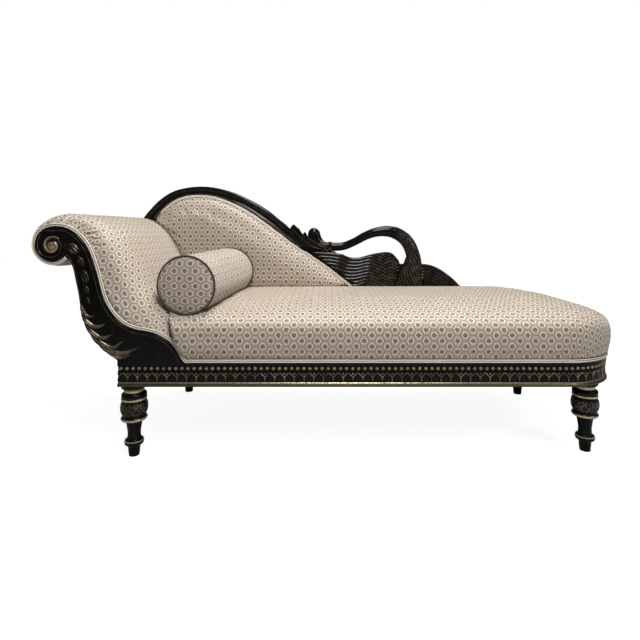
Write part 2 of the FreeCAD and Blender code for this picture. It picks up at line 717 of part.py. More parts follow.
neck = Part.makeLoft([ring(*values) for values in between(neck_rings, 2)], True, True)
feature("swan_neck", neck)
head_rings = [
    (-6.3, 627.5, 180, 18.8, 18), (-32, 634, 155, 15.5, 18), (-55, 652, 138, 22, 20.5),
    (-68, 668, 125, 28, 22), (-74, 685, 112, 26.5, 21.5), (-76, 699, 102, 19, 16),
    (-76.5, 708, 98, 8, 7),
]
head = Part.makeLoft([ring(*values) for values in between(head_rings, 2)], True, True)
feature("swan_head", head)

leaf = body("crest_leaf")
drawn = sketch(leaf, "leaf_outline", "XZ_Plane", "0", "0", "-Sizes.wing_front")
leaf_tips = [
    (-124, 615.7), (-89, 613.3), (-14, 608.9), (-42, 614), (-58, 620), (-75, 630), (-91, 642),
    (-99, 655), (-103, 668), (-105, 681), (-114, 691), (-120, 678), (-130, 690), (-145, 710),
    (-158, 723), (-165, 720), (-175.6, 703.7),
]
polygon(drawn, leaf_tips)
pad(leaf, drawn, "Sizes.frame_back - Sizes.wing_front", True)

collar = Part.makeCylinder(23, 12, Vector(-12, neck_y, 627.5), Vector(1, 0, 0))
collar = collar.cut(Part.makeCylinder(19.6, 14, Vector(-13, neck_y, 627.5), Vector(1, 0, 0)))
collar = collar.cut(Part.makeBox(40, 80, 40, Vector(-30, neck_y - 40, 569.5)))
collar = collar.cut(head)
feature("neck_binding", max(collar.Solids, key=lambda solid: solid.Volume))

# Uprights that carry the back, trimmed to what they meet.
upright_foot = "Sizes.rail_top"
for name, x, top, trim in (("head_upright", -470, 845, crest), ("swan_upright", -20, 560, backboard)):
    timber = block(name + "_timber", str(x), str(x + 40), "Sizes.board_front", "Sizes.frame_back",
                   upright_foot, str(top))
    made.remove(timber)
    trimmed = doc.addObject("Part::Cut", name)
    trimmed.Label = name
    trimmed.Base = timber
    trimmed.Tool = trim
    doc.recompute()
    made.append(trimmed)

# Seat pad
# Levels of the pad: height, and how far its edge has drawn in. At the head it
# runs on to the roll, which trims it.
seat_levels = [
    (size("seat_foot"), -1), (322, -10), (345, -14), (380, -14), (402, -9), (414, -1), (421, 9),
    (428, 24), (437, 60), (446, 105), (454, 160), (459.5, 215),
]


def seat_section(z, drawn_in):
    left = -560
    rear_in = drawn_in * 0.45 if drawn_in > 0 else drawn_in * 0.5
    radius = outer - drawn_in * 0.7
    return plan_face(left, -half + drawn_in, half - rear_in, right_end - drawn_in, radius, z)


seat = Part.makeLoft([seat_section(z, d) for z, d in seat_levels], True, True)
back_space = Part.makeBox(1517.5, 200, 300, Vector(-940, size("wing_front") - gap, 290))
breast_space = Part.makeLoft(
    [half_oval(x, w + 0.6, d + 0.6, z + (8 if z > 540 else -1 if z == wing_foot else 0))
     for z, x, w, d in breast_levels], True, True)
cord_space = edge_band(scroll_edge[:12], -2, 7.4, -335, -309.5)
# The bolster, a little askew, lies in a slight hollow.
bolster_front = Vector(-461, -266, 520.8)
bolster_run = Vector(48.5, 449.5, 9.8)
bolster_run.normalize()
wide, long = size("bolster_radius"), size("bolster_length")
hollow = Part.makeCylinder(wide + 2.4, long + 30, bolster_front - bolster_run * 15, bolster_run)
seat = seat.cut(roll_space).cut(back_space).cut(breast_space).cut(cord_space).cut(hollow)
feature("seat_pad", max(seat.Solids, key=lambda solid: solid.Volume))
seat_cord = [(outer - 3.5, high + 0.2), (outer + 2.5, high + 0.2), (outer + 2.5, high + 4.4),
             (outer - 3.5, high + 4.4)]
moulding("seat_welt", seat_cord, "-449")

# Bolster, with a cord round each end
tilt = Rotation(Vector(0, 0, 1), bolster_run)
seat_at = Placement(bolster_front + centre, tilt)


def bolster_part(name, outline):
    made_part = doc.addObject("PartDesign::Body", name)
    made_part.Label = name
    drawn = made_part.newObject("Sketcher::SketchObject", name + "_outline")
    support = [f for f in made_part.Origin.OriginFeatures if f.Role == "XZ_Plane"][0]
    drawn.AttachmentSupport = [(support, "")]
    drawn.MapMode = "FlatFace"
    polygon(drawn, outline)
    turn(made_part, drawn, 360)
    made_part.Placement = seat_at
    made.append(made_part)


puff = 7
bolster_part("bolster", [
    (0, -puff), (wide * 0.45, -puff + 1.2), (wide * 0.8, -puff + 4), (wide - 4.5, 0),
    (wide - 2.7, 5.2), (wide, 30), (wide, long - 30), (wide - 2.7, long - 5.2),
    (wide - 4.5, long), (wide * 0.8, long + puff - 4), (wide * 0.45, long + puff - 1.2),
    (0, long + puff),
])
cord = 2.4
for name, at in (("bolster_front_piping", 2.2), ("bolster_rear_piping", long - 2.2)):
    sides = [(wide - 1.2 + cord * math.cos(math.radians(a)), at + cord * math.sin(math.radians(a)))
             for a in range(0, 360, 60)]
    bolster_part(name, sides)

doc.recompute()
for obj in doc.Objects:
    assert "Invalid" not in obj.State and "Error" not in obj.State, (obj.Name, obj.State)
os.makedirs("parts", exist_ok=True)
for obj in made:
    shape = obj.Shape
    assert not shape.isNull() and shape.isValid(), obj.Label
    shape.exportStep("parts/%s.step" % obj.Label)
    box = shape.BoundBox
    print("%-22s %2d solids  x %7.1f %7.1f  y %7.1f %7.1f  z %6.1f %6.1f  vol %11.0f" % (
        obj.Label, len(shape.Solids), box.XMin, box.XMax, box.YMin, box.YMax, box.ZMin, box.ZMax,
        shape.Volume))
print(len(made), "sub-parts")
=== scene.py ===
"""Recamier with a rolled head end and a carved swan: its looks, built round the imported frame."""
import json
import math
import bmesh
import bpy
import numpy as np
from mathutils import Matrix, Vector


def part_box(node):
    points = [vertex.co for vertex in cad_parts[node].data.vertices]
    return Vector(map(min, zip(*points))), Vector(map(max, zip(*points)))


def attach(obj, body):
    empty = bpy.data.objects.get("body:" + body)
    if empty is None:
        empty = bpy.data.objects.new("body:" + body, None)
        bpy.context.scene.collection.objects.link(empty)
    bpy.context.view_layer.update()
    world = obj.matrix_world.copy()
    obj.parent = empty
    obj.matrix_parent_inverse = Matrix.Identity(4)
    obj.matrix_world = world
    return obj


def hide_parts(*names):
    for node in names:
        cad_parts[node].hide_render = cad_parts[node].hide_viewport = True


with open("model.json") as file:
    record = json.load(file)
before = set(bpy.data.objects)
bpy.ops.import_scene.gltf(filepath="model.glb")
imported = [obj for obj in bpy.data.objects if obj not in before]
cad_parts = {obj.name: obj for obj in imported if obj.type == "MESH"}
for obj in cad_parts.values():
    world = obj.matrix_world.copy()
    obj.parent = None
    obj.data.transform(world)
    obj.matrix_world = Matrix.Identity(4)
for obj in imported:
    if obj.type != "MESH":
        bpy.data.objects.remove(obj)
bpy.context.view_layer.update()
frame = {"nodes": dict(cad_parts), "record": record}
nodes = frame["nodes"]

# Sizes are in millimetres, from the same zero as the part's own drawing.
MM = 0.001
ZERO = np.array([2.8, 2.75, 0.0])
HALF_DEPTH = 316.0
CORNER_X, CORNER_Y, CORNER_RADIUS = 716.6, 116.0, 200.0
RAIL_LEFT, WING_FACE = -652.0, 248.0
EYE_X, EYE_Z = -849.8, 648.2
NECK_Y, BREAST_Y = 268.0, 266.0
UP = np.array([0, 0, 1.0])


# Outlines
def runs_along(line):
    """The distance run at each point of a line."""
    return np.r_[0, np.cumsum(np.linalg.norm(np.diff(line, axis=0), axis=1))]


def smooth(points, step):
    """A smooth line through the points, resampled to even steps."""
    p = np.asarray(points, float)
    p = np.vstack([2 * p[0] - p[1], p, 2 * p[-1] - p[-2]])
    dense = []
    for a, b, c, d in zip(p[:-3], p[1:-2], p[2:-1], p[3:]):
        for t in np.linspace(0, 1, 12, endpoint=False):
            dense.append(b + 0.5 * t * (c - a + t * (2 * a - 5 * b + 4 * c - d
                                                     + t * (3 * b - a - 3 * c + d))))
    dense.append(p[-2])
    dense = np.array(dense)
    run = runs_along(dense)
    at = np.linspace(0, run[-1], max(3, int(round(run[-1] / step)) + 1))
    return np.stack([np.interp(at, run, dense[:, k]) for k in range(dense.shape[1])], axis=1)


def right_of(line):
    """Unit vectors to the right of a flat line's direction."""
    ahead = np.gradient(np.asarray(line, float), axis=0)
    ahead /= np.linalg.norm(ahead, axis=1)[:, None]
    return np.stack([ahead[:, 1], -ahead[:, 0]], axis=1)


def beside(line, distance):
    return np.asarray(line, float) + right_of(line) * distance


scroll_edge = [
    (-459, 301), (-468, 321), (-480, 340), (-495, 357), (-513, 370), (-538, 382), (-565, 389),
    (-595, 394), (-622, 404), (-646, 420), (-668, 443), (-686, 472), (-698, 502), (-706, 532),
    (-713, 560), (-721, 587), (-730, 614), (-742, 641), (-758, 665), (-776, 683), (-795, 696),
    (-815, 703.5), (-837, 706.5), (-858, 704), (-879, 695), (-894, 679), (-901.5, 653),
    (-896, 629), (-876, 608), (-852, 599), (-831, 602.5), (-815, 612), (-806, 625),
]
scroll_outside = [
    (-806, 625), (-799, 612), (-790, 592), (-782, 565), (-778, 544), (-772, 517), (-767, 487),
    (-761, 451), (-752, 420), (-737, 389), (-716, 360), (-692, 334), (-671, 316), (-652, 301),
]
roll_skin = [
    (-470, 333), (-484, 370), (-496, 404), (-514, 431), (-549, 461), (-584, 504), (-611, 551),
    (-635, 601), (-661, 649), (-688, 691), (-724, 722), (-771, 745), (-836, 750), (-896, 726),
    (-936, 664), (-919, 610), (-889, 588), (-852, 582), (-824, 590), (-808, 604),
]
crest_out = [
    (-812, 660), (-818, 690), (-820, 716), (-807, 745), (-790, 769), (-768, 794.5), (-738, 824.7),
    (-703, 850.7), (-669, 868), (-630, 878.8), (-586.5, 885.3), (-543, 886.2), (-500, 881.8),
    (-457, 872.3), (-414, 859.3), (-370, 840), (-327, 818.3), (-297, 801), (-262, 777.2),
    (-228, 749), (-193, 721), (-176, 703.7),
]
crest_in = [
    (-766, 660), (-770, 680), (-769, 702), (-759, 725.3), (-746, 747), (-725, 775), (-694.5, 803),
    (-660, 827), (-625.4, 840), (-586.5, 846.4), (-543, 846.4), (-500, 842), (-457, 829),
    (-414, 811.8), (-370, 790.2), (-327, 764.2), (-284, 734), (-241, 701.6), (-197.5, 669),
    (-167, 645.4), (-141, 628), (-124, 615.2),
]
border = [
    (-124, 615.2), (-98, 602.6), (-62, 577), (-24, 551.5), (10, 526), (40, 502.5), (70, 479),
    (91, 461),
]
left_wing_top = [
    (14, 607), (27, 596), (48.5, 585.4), (83, 579), (117, 579), (147, 585.4), (178, 594),
    (212, 600.4), (238, 602.6), (259, 598.3), (276, 583.2), (289, 566), (293.6, 552),
]
right_wing_top = [
    (392.5, 552), (414, 549.5), (440, 542), (470, 527), (500, 505.8), (526, 484.3), (547, 463),
    (564.5, 447.8),
]
neck_rings = [
    (-6, 627.5, 0, 19, 18), (28, 627, 2, 18, 18), (61, 631, 16, 17.2, 18), (104, 649, 28, 16.8, 18),
    (147, 672.4, 26, 18, 19), (190, 688.4, 14, 19.7, 20.5), (236, 694.2, -3, 23, 22.5),
    (280, 686, -23, 25.3, 24), (318.5, 661.5, -48, 26.8, 25.5), (341, 630, -66, 27.8, 26.5),
    (355, 592, -83, 29.2, 28), (355.5, 570, -92, 34.5, 29), (352, 540, -90, 41, 31),
]
head_rings = [
    (-6.3, 627.5, 180, 18.8, 18), (-32, 634, 155, 15.5, 18), (-55, 652, 138, 22, 20.5),
    (-68, 668, 125, 28, 22), (-74, 685, 112, 26.5, 21.5), (-76, 699, 102, 19, 16),
    (-76.5, 708, 98, 7, 6),
]
# Radius and height of the leg, from the tip to the rail.
leg_outline = [
    (15.5, 0), (18.5, 31), (21, 34), (27, 36), (29, 43), (27, 50), (21, 53), (19.4, 60), (19, 74),
    (22, 94), (25.5, 110.5), (36, 111.2), (39.5, 116), (37.5, 120.5), (34.5, 122), (35.5, 127),
    (39, 139), (40, 151), (39, 162), (36.5, 171), (38, 172.5), (39.5, 176.5), (37.5, 181),
    (37, 182.5), (39, 187), (37, 193), (30, 197), (31, 205), (38.5, 211), (38.5, 220.6),
]
# Height and inward draw of the seat's side, from its foot to its crown.
seat_levels = [
    (306, -1), (322, -10), (345, -14), (380, -14), (402, -9), (414, -1), (421, 9), (428, 24),
    (437, 60), (446, 105), (454, 160), (459.5, 215),
]


def linked(name, data):
    """A new object in the scene."""
    made = bpy.data.objects.new(name, data)
    bpy.context.scene.collection.objects.link(made)
    return made


# Materials
class Nodes:
    """Short names for building one material's node tree."""

    def __init__(self, name):
        self.material = bpy.data.materials.new(name)
        self.material.use_nodes = True
        self.tree = self.material.node_tree
        self.shader = self.tree.nodes["Principled BSDF"]

    def node(self, kind, inputs=(), **settings):
        made = self.tree.nodes.new("ShaderNode" + kind)
        for key, value in settings.items():
            setattr(made, key, value)
        for key, value in dict(inputs).items():
            self.put(made.inputs[key], value)
        return made

    def put(self, socket, value):
        if isinstance(value, bpy.types.NodeSocket):
            self.tree.links.new(value, socket)
        else:
            socket.default_value = value

    def math(self, operation, a, b=0.0):
        return self.node("Math", {0: a, 1: b}, operation=operation).outputs[0]

    def times(self, a, b):
        return self.math("MULTIPLY", a, b)

    def plus(self, a, b):
        return self.math("ADD", a, b)

    def vector(self, operation, a, b=(0, 0, 0)):
        return self.node("VectorMath", {0: a, 1: b}, operation=operation).outputs[0]

    def step(self, value, low, high, out_low=0.0, out_high=1.0):
        """A soft step of value from low to high."""
        return self.node("MapRange", {"Value": value, "From Min": low, "From Max": high,
                                      "To Min": out_low, "To Max": out_high},
                         interpolation_type="SMOOTHSTEP").outputs[0]

    def place(self):
        return self.node("TexCoord").outputs["Object"]

    def mix(self, share, a, b):
        made = self.node("Mix", data_type="RGBA")
        self.put(made.inputs[0], share)
        self.put(made.inputs[6], a)
        self.put(made.inputs[7], b)
        return made.outputs[2]

    def noise(self, scale, detail=3.0, rough=0.5, where=None, stretch=None):
        where = where or self.place()
        if stretch:
            where = self.vector("MULTIPLY", where, stretch)
        return self.node("TexNoise", {"Vector": where, "Scale": scale, "Detail": detail,
                                      "Roughness": rough}).outputs[0]

    def wave(self, where, scale, distortion, direction, detail=2.0):
        """Bands across a direction."""
        return self.node("TexWave", {"Vector": where, "Scale": scale, "Distortion": distortion,
                                     "Detail": detail}, bands_direction=direction).outputs["Fac"]

    def bump(self, height, strength, distance):
        made = self.node("Bump", {"Height": height, "Strength": strength, "Distance": distance})
        self.put(self.shader.inputs["Normal"], made.outputs[0])

    def surface(self, **values):
        """Sets the shader's sockets, named with _ for a space."""
        for key, value in values.items():
            self.put(self.shader.inputs[key.replace("_", " ")], value)
        return self.material


def honeycomb_fabric(name):
    """Woven hexagons: a grey centre in a white ring, on a tan ground with brown lines."""
    n = Nodes(name)
    repeat_x, repeat_y = 46.8, 34.4
    flat = n.node("Attribute", attribute_name="cloth").outputs["Vector"]
    cells = n.vector("DIVIDE", flat, (repeat_x, repeat_y, 1))

    def centred(start):
        moved = n.vector("FRACTION", n.vector("ADD", cells, (start, start, 0)))
        moved = n.vector("SUBTRACT", moved, (0.5, 0.5, 0))
        return n.vector("MULTIPLY", moved, (repeat_x, repeat_y, 0))

    def hexagon(at, upright=1.0):
        at = n.vector("ABSOLUTE", n.vector("MULTIPLY", at, (1, upright, 0)))
        parts = n.node("SeparateXYZ", {0: at}).outputs
        slope = n.plus(n.times(parts[0], 0.866), n.times(parts[1], 0.5))
        return n.math("MAXIMUM", parts[1], slope)

    regular = repeat_x / math.sqrt(3) / repeat_y
    one, other = centred(0.0), centred(0.5)
    cell = n.math("MINIMUM", hexagon(one, regular), hexagon(other, regular))
    ring = n.math("MINIMUM", hexagon(one), hexagon(other))
    thread = n.noise(1.5, 2, 0.6, where=flat)
    ragged = n.plus(n.times(thread, 0.6), n.noise(0.30, 1, 0.5, where=flat))
    uneven = n.times(n.math("SUBTRACT", ragged, 0.8), 3.4)
    ring = n.plus(ring, uneven)
    patch = n.noise(9, 2)
    ground = n.mix(patch, (0.42, 0.33, 0.23, 1), (0.52, 0.42, 0.305, 1))
    outline = n.step(n.math("ABSOLUTE", n.math("SUBTRACT", ring, 11.0)), 1.0, 0.3)
    line = n.math("MAXIMUM", n.step(n.plus(cell, n.times(uneven, 0.4)), 12.0, 12.9),
                  n.times(outline, 0.75))
    colour = n.mix(n.times(line, 0.8), ground, (0.16, 0.105, 0.065, 1))
    inside = n.step(ring, 9.4, 10.3, 1.0, 0.0)
    colour = n.mix(inside, colour, (0.84, 0.79, 0.71, 1))
    within = n.step(ring, 7.9, 8.5, 1.0, 0.0)
    colour = n.mix(n.times(within, 0.75), colour, (0.42, 0.35, 0.285, 1))
    core = n.step(ring, 6.5, 7.6, 1.0, 0.0)
    grey = n.mix(n.step(ragged, 0.6, 1.0), (0.05, 0.044, 0.046, 1), (0.26, 0.235, 0.23, 1))
    colour = n.mix(core, colour, grey)
    warp, weft = (n.wave(flat, 0.55, 0.6, axis) for axis in "XY")
    weave_shade = n.plus(n.times(n.times(warp, weft), 0.25), n.step(thread, 0.56, 0.34, 0.0, 0.34))
    colour = n.mix(weave_shade, colour, (0.20, 0.15, 0.11, 1))
    height = n.plus(n.times(warp, 0.35), n.times(weft, 0.35))
    height = n.plus(height, n.times(inside, 0.5))
    height = n.math("SUBTRACT", height, n.times(core, 0.3))
    n.bump(height, 0.35, 0.0008)
    return n.surface(Base_Color=colour, Roughness=n.step(patch, 0, 1, 0.44, 0.56),
                     Sheen_Weight=0.25, Sheen_Roughness=0.4, Sheen_Tint=(1, 0.97, 0.9, 1),
                     Specular_IOR_Level=0.55)


def ebonised(name):
    """Black polished wood with bronze rubbed through on what the attribute marks."""
    n = Nodes(name)
    mark = n.node("Attribute", attribute_name="gilt").outputs["Fac"]
    wear = n.noise(190, 4, 0.65)
    patch = n.noise(45, 3)
    rubbed = n.times(mark, n.step(wear, 0.36, 0.56, 0.5, 1.0))
    metal = n.mix(n.step(patch, 0.35, 0.7), (0.12, 0.095, 0.063, 1), (0.37, 0.315, 0.225, 1))
    metal = n.mix(n.step(mark, 0.86, 0.97), metal, (0.66, 0.54, 0.33, 1))
    black = n.mix(n.step(patch, 0.3, 0.8), (0.0020, 0.0019, 0.0018, 1), (0.0055, 0.0045, 0.0038, 1))
    n.bump(n.noise(60, 4, 0.6, stretch=(0.25, 1, 1)), 0.10, 0.0006)
    rough = n.plus(n.plus(n.times(wear, 0.08), 0.12), n.times(rubbed, 0.16))
    return n.surface(Base_Color=n.mix(rubbed, black, metal), Roughness=rough,
                     Metallic=n.times(rubbed, 0.8), Specular_IOR_Level=0.11,
                     Coat_Weight=0.04, Coat_Roughness=0.12)


def gilt(name, bright, edge=None):
    """Rubbed gold over a dark ground, with a paler band above an edge height where one is given: a
    painted highlight along the top edge.
    """
    n = Nodes(name)
    worn = n.noise(150, 4, 0.7)
    patch = n.noise(35, 2)
    gold = n.mix(patch, (0.16 * bright, 0.12 * bright, 0.065 * bright, 1),
                 (0.40 * bright, 0.32 * bright, 0.19 * bright, 1))
    # Painted highlight: above the given height the gold turns paler, standing for light caught
    # along the top edge.
    if edge:
        height = n.node("SeparateXYZ", {0: n.place()}).outputs[2]
        gold = n.mix(n.step(height, edge - 0.0008, edge), gold, (0.34, 0.29, 0.21, 1))
    kept = n.step(worn, 0.33, 0.47)
    n.bump(worn, 0.25, 0.0006)
    return n.surface(Base_Color=n.mix(kept, (0.035, 0.024, 0.012, 1), gold),
                     Roughness=n.step(worn, 0.3, 0.7, 0.48, 0.3), Metallic=n.times(kept, 0.85))


def cord_fabric(name, light, dark):
    """A twisted cord: slanting strands of two tones."""
    n = Nodes(name)
    strand = n.wave(n.place(), 420, 2.0, "DIAGONAL")
    tone = n.mix(n.step(strand, 0.2, 0.8), dark, light)
    n.bump(strand, 0.5, 0.0007)
    return n.surface(Base_Color=n.mix(n.times(n.noise(60), 0.35), tone, dark),
                     Roughness=n.step(strand, 0, 1, 0.75, 0.6), Sheen_Weight=0.25)


def cloth_weave(name, colour, other, scale=900):
    """A plain woven cloth with crossed threads."""
    n = Nodes(name)
    where = n.place()
    waves = [n.wave(where, scale, 1.5, axis) for axis in "XYZ"]
    height = n.math("MAXIMUM", waves[0], n.math("MAXIMUM", waves[1], waves[2]))
    tone = n.mix(n.noise(25, 4), colour, other)
    n.bump(height, 0.5, 0.0005)
    return n.surface(Base_Color=n.mix(n.times(height, 0.25), tone, other),
                     Roughness=n.step(height, 0, 1, 0.85, 0.73))


def plain_wood(name):
    n = Nodes(name)
    grain = n.noise(30, 6, 0.6, stretch=(0.12, 1, 1))
    ring = n.wave(n.place(), 18.0, 9.0, "Y", 3.0)
    colour = n.mix(n.times(ring, grain), (0.42, 0.26, 0.13, 1), (0.62, 0.44, 0.25, 1))
    n.bump(grain, 0.3, 0.0008)
    return n.surface(Base_Color=colour, Roughness=n.step(grain, 0, 1, 0.7, 0.5))


fabric = honeycomb_fabric("honeycomb_fabric")
black_wood = ebonised("ebonised_wood_finish")
gold = gilt("gilt_wood_finish", 1.25)
# The low moulding: a duller gold, with a painted highlight above 231.8 mm along its top edge.
dull_gold_with_painted_highlight = gilt("gilt_moulding_with_painted_highlight", 0.26, 0.2318)
welt_cord = cord_fabric("welt_cord_weave", (0.86, 0.79, 0.68, 1), (0.55, 0.48, 0.39, 1))
dark_cord = cord_fabric("dark_cord_weave", (0.022, 0.018, 0.017, 1), (0.006, 0.005, 0.005, 1))
black_dust = cloth_weave("dust_cloth_weave", (0.035, 0.034, 0.036, 1), (0.015, 0.015, 0.016, 1))

slot_materials = {
    "ebonised_wood": black_wood, "gilt_wood": gold, "cover_fabric": fabric,
    "welt_cord": welt_cord, "dark_cord": dark_cord, "dust_cloth": black_dust,
    "jute_webbing": cloth_weave("jute_weave", (0.45, 0.33, 0.18, 1), (0.30, 0.21, 0.11, 1), 500),
    "canvas": cloth_weave("canvas_weave", (0.62, 0.56, 0.45, 1), (0.48, 0.42, 0.32, 1)),
    "frame_wood": plain_wood("frame_wood_grain"),
}


# Mesh building
def finished(name, data, material, body="frame", flat=False):
    """A piece of the scene from its mesh, on its body and in the material it is given."""
    piece = linked(name, data)
    data.materials.clear()
    data.materials.append(material)
    data.polygons.foreach_set("use_smooth", [not flat] * len(data.polygons))
    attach(piece, body)
    return piece


def cloth_map(data, flat):
    """Each point's place on the flat cloth, for the woven pattern."""
    made = data.attributes.new("cloth", "FLOAT_VECTOR", "POINT")
    flat = np.concatenate([flat, np.zeros((len(flat), 1))], axis=1)
    made.data.foreach_set("vector", flat.astype(np.float32).ravel())


class Relief:
    """Gathers many small carved grids into one mesh, with how gilt each point is."""

    def __init__(self):
        self.points, self.faces, self.marks, self.count = [], [], [], 0

    def grid(self, points, marks=0.0, around=False, caps=False):
        rows, columns = points.shape[:2]
        marks = np.broadcast_to(marks, (rows, columns))
        start = self.count
        self.points.append(points.reshape(-1, 3))
        self.marks.append(marks.reshape(-1))
        last = columns if around else columns - 1
        for i in range(rows - 1):
            for j in range(last):
                k = (j + 1) % columns
                self.faces.append((start + i * columns + j, start + i * columns + k,
                                   start + (i + 1) * columns + k, start + (i + 1) * columns + j))
        self.count += rows * columns
        if caps:
            self.faces.append(tuple(range(start, start + columns))[::-1])
            self.faces.append(tuple(range(self.count - columns, self.count)))

    def piece(self, name, material=black_wood, slot="ebonised_wood", body="frame", flat=False,
              stands_for=()):
        data = bpy.data.meshes.new(name)
        points = (np.vstack(self.points) + ZERO) * MM
        data.from_pydata(points.tolist(), [], self.faces)
        marks = np.concatenate(self.marks).astype(np.float32)
        data.attributes.new("gilt", "FLOAT", "POINT").data.foreach_set("value", marks)
        piece = finished(name, data, material, body, flat)
        if stands_for:
            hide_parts(*stands_for)

    def sweep(self, path, side, up, profile, marks=0.0):
        """Carries a closed profile of (out, up) points along a path."""
        profile = np.asarray(profile, float)
        grid = (path[:, None, :] + side[:, None, :] * profile[None, :, 0, None]
                + np.asarray(up, float) * profile[None, :, 1, None])
        self.grid(grid, marks, around=True, caps=True)

    def tube(self, path, radius, sides=8, marks=0.0, up=(0, 1, 0), squash=1.0):
        """A round or oval rod along a path."""
        path = np.asarray(path, float)
        ahead = np.gradient(path, axis=0)
        ahead /= np.linalg.norm(ahead, axis=1)[:, None]
        side = np.cross(ahead, up)
        side /= np.linalg.norm(side, axis=1)[:, None]
        over = np.cross(side, ahead)
        radius = np.broadcast_to(radius, len(path))[:, None, None]
        turn = np.linspace(0, 2 * math.pi, sides, endpoint=False)
        grid = path[:, None, :] + radius * (
            side[:, None, :] * np.cos(turn)[None, :, None]
            + over[:, None, :] * np.sin(turn)[None, :, None] * squash)
        self.grid(grid, marks, around=True, caps=True)


def dome(at, facing, side, rings, sides):
    """A small dome on a face, from rings of reach and height."""
    turn = np.linspace(0, 2 * math.pi, sides, endpoint=False)[:, None]
    return np.array([at + facing * high + reach * (np.cos(turn) * side + np.sin(turn) * UP)
                     for reach, high in rings])


def upright(line, y):
    """A flat line in X and Z, stood up at one depth."""
    line = np.asarray(line, float)
    return np.stack([line[:, 0], np.broadcast_to(y, len(line)), line[:, 1]], axis=1)


def sideways(line):
    right = right_of(line)
    return np.stack([right[:, 0], np.zeros(len(right)), right[:, 1]], axis=1)


def rim(run, out):
    """Points and outward directions at runs from the head, out from the corners' centres."""
    front = CORNER_X - RAIL_LEFT
    arc = math.pi / 2 * CORNER_RADIUS
    end = 2 * CORNER_Y
    first = np.clip((run - front) / CORNER_RADIUS, 0, math.pi / 2)
    second = np.clip((run - front - arc - end) / CORNER_RADIUS, 0, math.pi / 2)
    turned = -math.pi / 2 + first + second
    facing = np.stack([np.cos(turned), np.sin(turned)], axis=-1)
    x = np.where(run < front, RAIL_LEFT + run, CORNER_X)
    y = -CORNER_Y + np.clip(run - front - arc, 0, end)
    centre = np.stack([x, y], axis=-1)
    return centre + facing * out, facing


RIM_LENGTH = (CORNER_X - RAIL_LEFT) + math.pi * CORNER_RADIUS + 2 * CORNER_Y


def rim_points(run, out, z):
    at, _ = rim(run, out)
    return np.concatenate([at, np.broadcast_to(z, len(at))[:, None]], axis=1)


# Camera
def camera():
    """Level, at seated eye height, as the photograph was taken."""
    data = bpy.data.cameras.new("camera")
    data.sensor_width, data.lens = 36.0, 25.3125
    data.shift_x, data.shift_y = -0.00875, -0.1358
    made = linked("camera", data)
    made.location = (-0.0192, -1.67325, 0.686)
    made.rotation_euler = (math.pi / 2, 0, 0)
    bpy.context.scene.camera = made


def lights():
    scene = bpy.context.scene
    scene.view_settings.view_transform = "Standard"
    world = bpy.data.worlds.new("studio")
    world.use_nodes = True
    tree = world.node_tree
    seen = tree.nodes.new("ShaderNodeLightPath").outputs["Is Camera Ray"]
    bright = tree.nodes.new("ShaderNodeMapRange")
    bright.inputs["To Min"].default_value, bright.inputs["To Max"].default_value = 0.19, 1.0
    tree.links.new(seen, bright.inputs["Value"])
    tree.nodes["Background"].inputs[0].default_value = (1, 1, 1, 1)
    tree.links.new(bright.outputs[0], tree.nodes["Background"].inputs[1])
    scene.world = world
    for name, place, aim, size, power in (
            ("key_light", (0.2, -1.25, 2.35), (0.1, 0.05, 0.4), 0.7, 46),
            ("fill_light", (2.3, -1.9, 1.9), (0.4, 0, 0.4), 0.6, 16),
            ("top_light", (0.25, 0.35, 2.7), (0.1, 0, 0.4), 1.0, 58)):
        data = bpy.data.lights.new(name, "AREA")
        data.size, data.energy = size, power
        made = linked(name, data)
        made.location = place
        aimed = Vector(aim) - Vector(place)
        made.rotation_euler = aimed.to_track_quat("-Z", "Y").to_euler()


def floor():
    """A pale floor, which the camera sees nearly as bright as the white behind it."""
    count = 40
    data = bpy.data.meshes.new("floor")
    span = np.linspace(-9, 9, count)
    points = [(x, y, -0.0006) for y in span for x in span]
    faces = [(i * count + j, i * count + j + 1, (i + 1) * count + j + 1, (i + 1) * count + j)
             for i in range(count - 1) for j in range(count - 1)]
    data.from_pydata(points, [], faces)
    n = Nodes("pale_floor")
    speck = n.noise(3, 2)
    seen = n.node("LightPath").outputs["Is Camera Ray"]
    n.surface(Base_Color=n.mix(speck, (0.50, 0.50, 0.50, 1), (0.53, 0.53, 0.53, 1)), Roughness=0.8,
              Specular_IOR_Level=0.1, Emission_Color=(1, 1, 1, 1),
              Emission_Strength=n.times(seen, 0.9))
    data.materials.append(n.material)
    linked("floor", data)


# Carried-over solids
def dress_nodes():
    """Every solid that stays gets its slot's material, and the low moulding a duller gold with a
    painted highlight along its top edge.
    """
    slots = {part["node"]: part["material_slot"] for part in frame["record"]["subparts"]}
    for name, node in nodes.items():
        node.data.materials.clear()
        node.data.materials.append(
            dull_gold_with_painted_highlight if name == "base_moulding" else slot_materials[slots[name]])


# Soft goods
def snapshot(piece):
    """The piece's mesh with its modifiers carried out."""
    graph = bpy.context.evaluated_depsgraph_get()
    return bpy.data.meshes.new_from_object(piece.evaluated_get(graph), depsgraph=graph)


def vectors(data, key):
    flat = np.empty(len(data.vertices) * 3)
    data.vertices.foreach_get(key, flat)
    return flat.reshape(-1, 3)


def coordinates(data):
    return vectors(data, "co") / MM - ZERO


def put_back(data, points):
    data.vertices.foreach_set("co", ((points + ZERO) * MM).ravel())
    data.update()


def modified(data, *modifiers):
    """The mesh with some modifiers carried out, each given by its kind and settings."""
    work = linked("work", data)
    for kind, settings in modifiers:
        made = work.modifiers.new(kind.lower(), kind)
        for key, value in settings.items():
            setattr(made, key, value)
    result = snapshot(work)
    bpy.data.objects.remove(work)
    return result


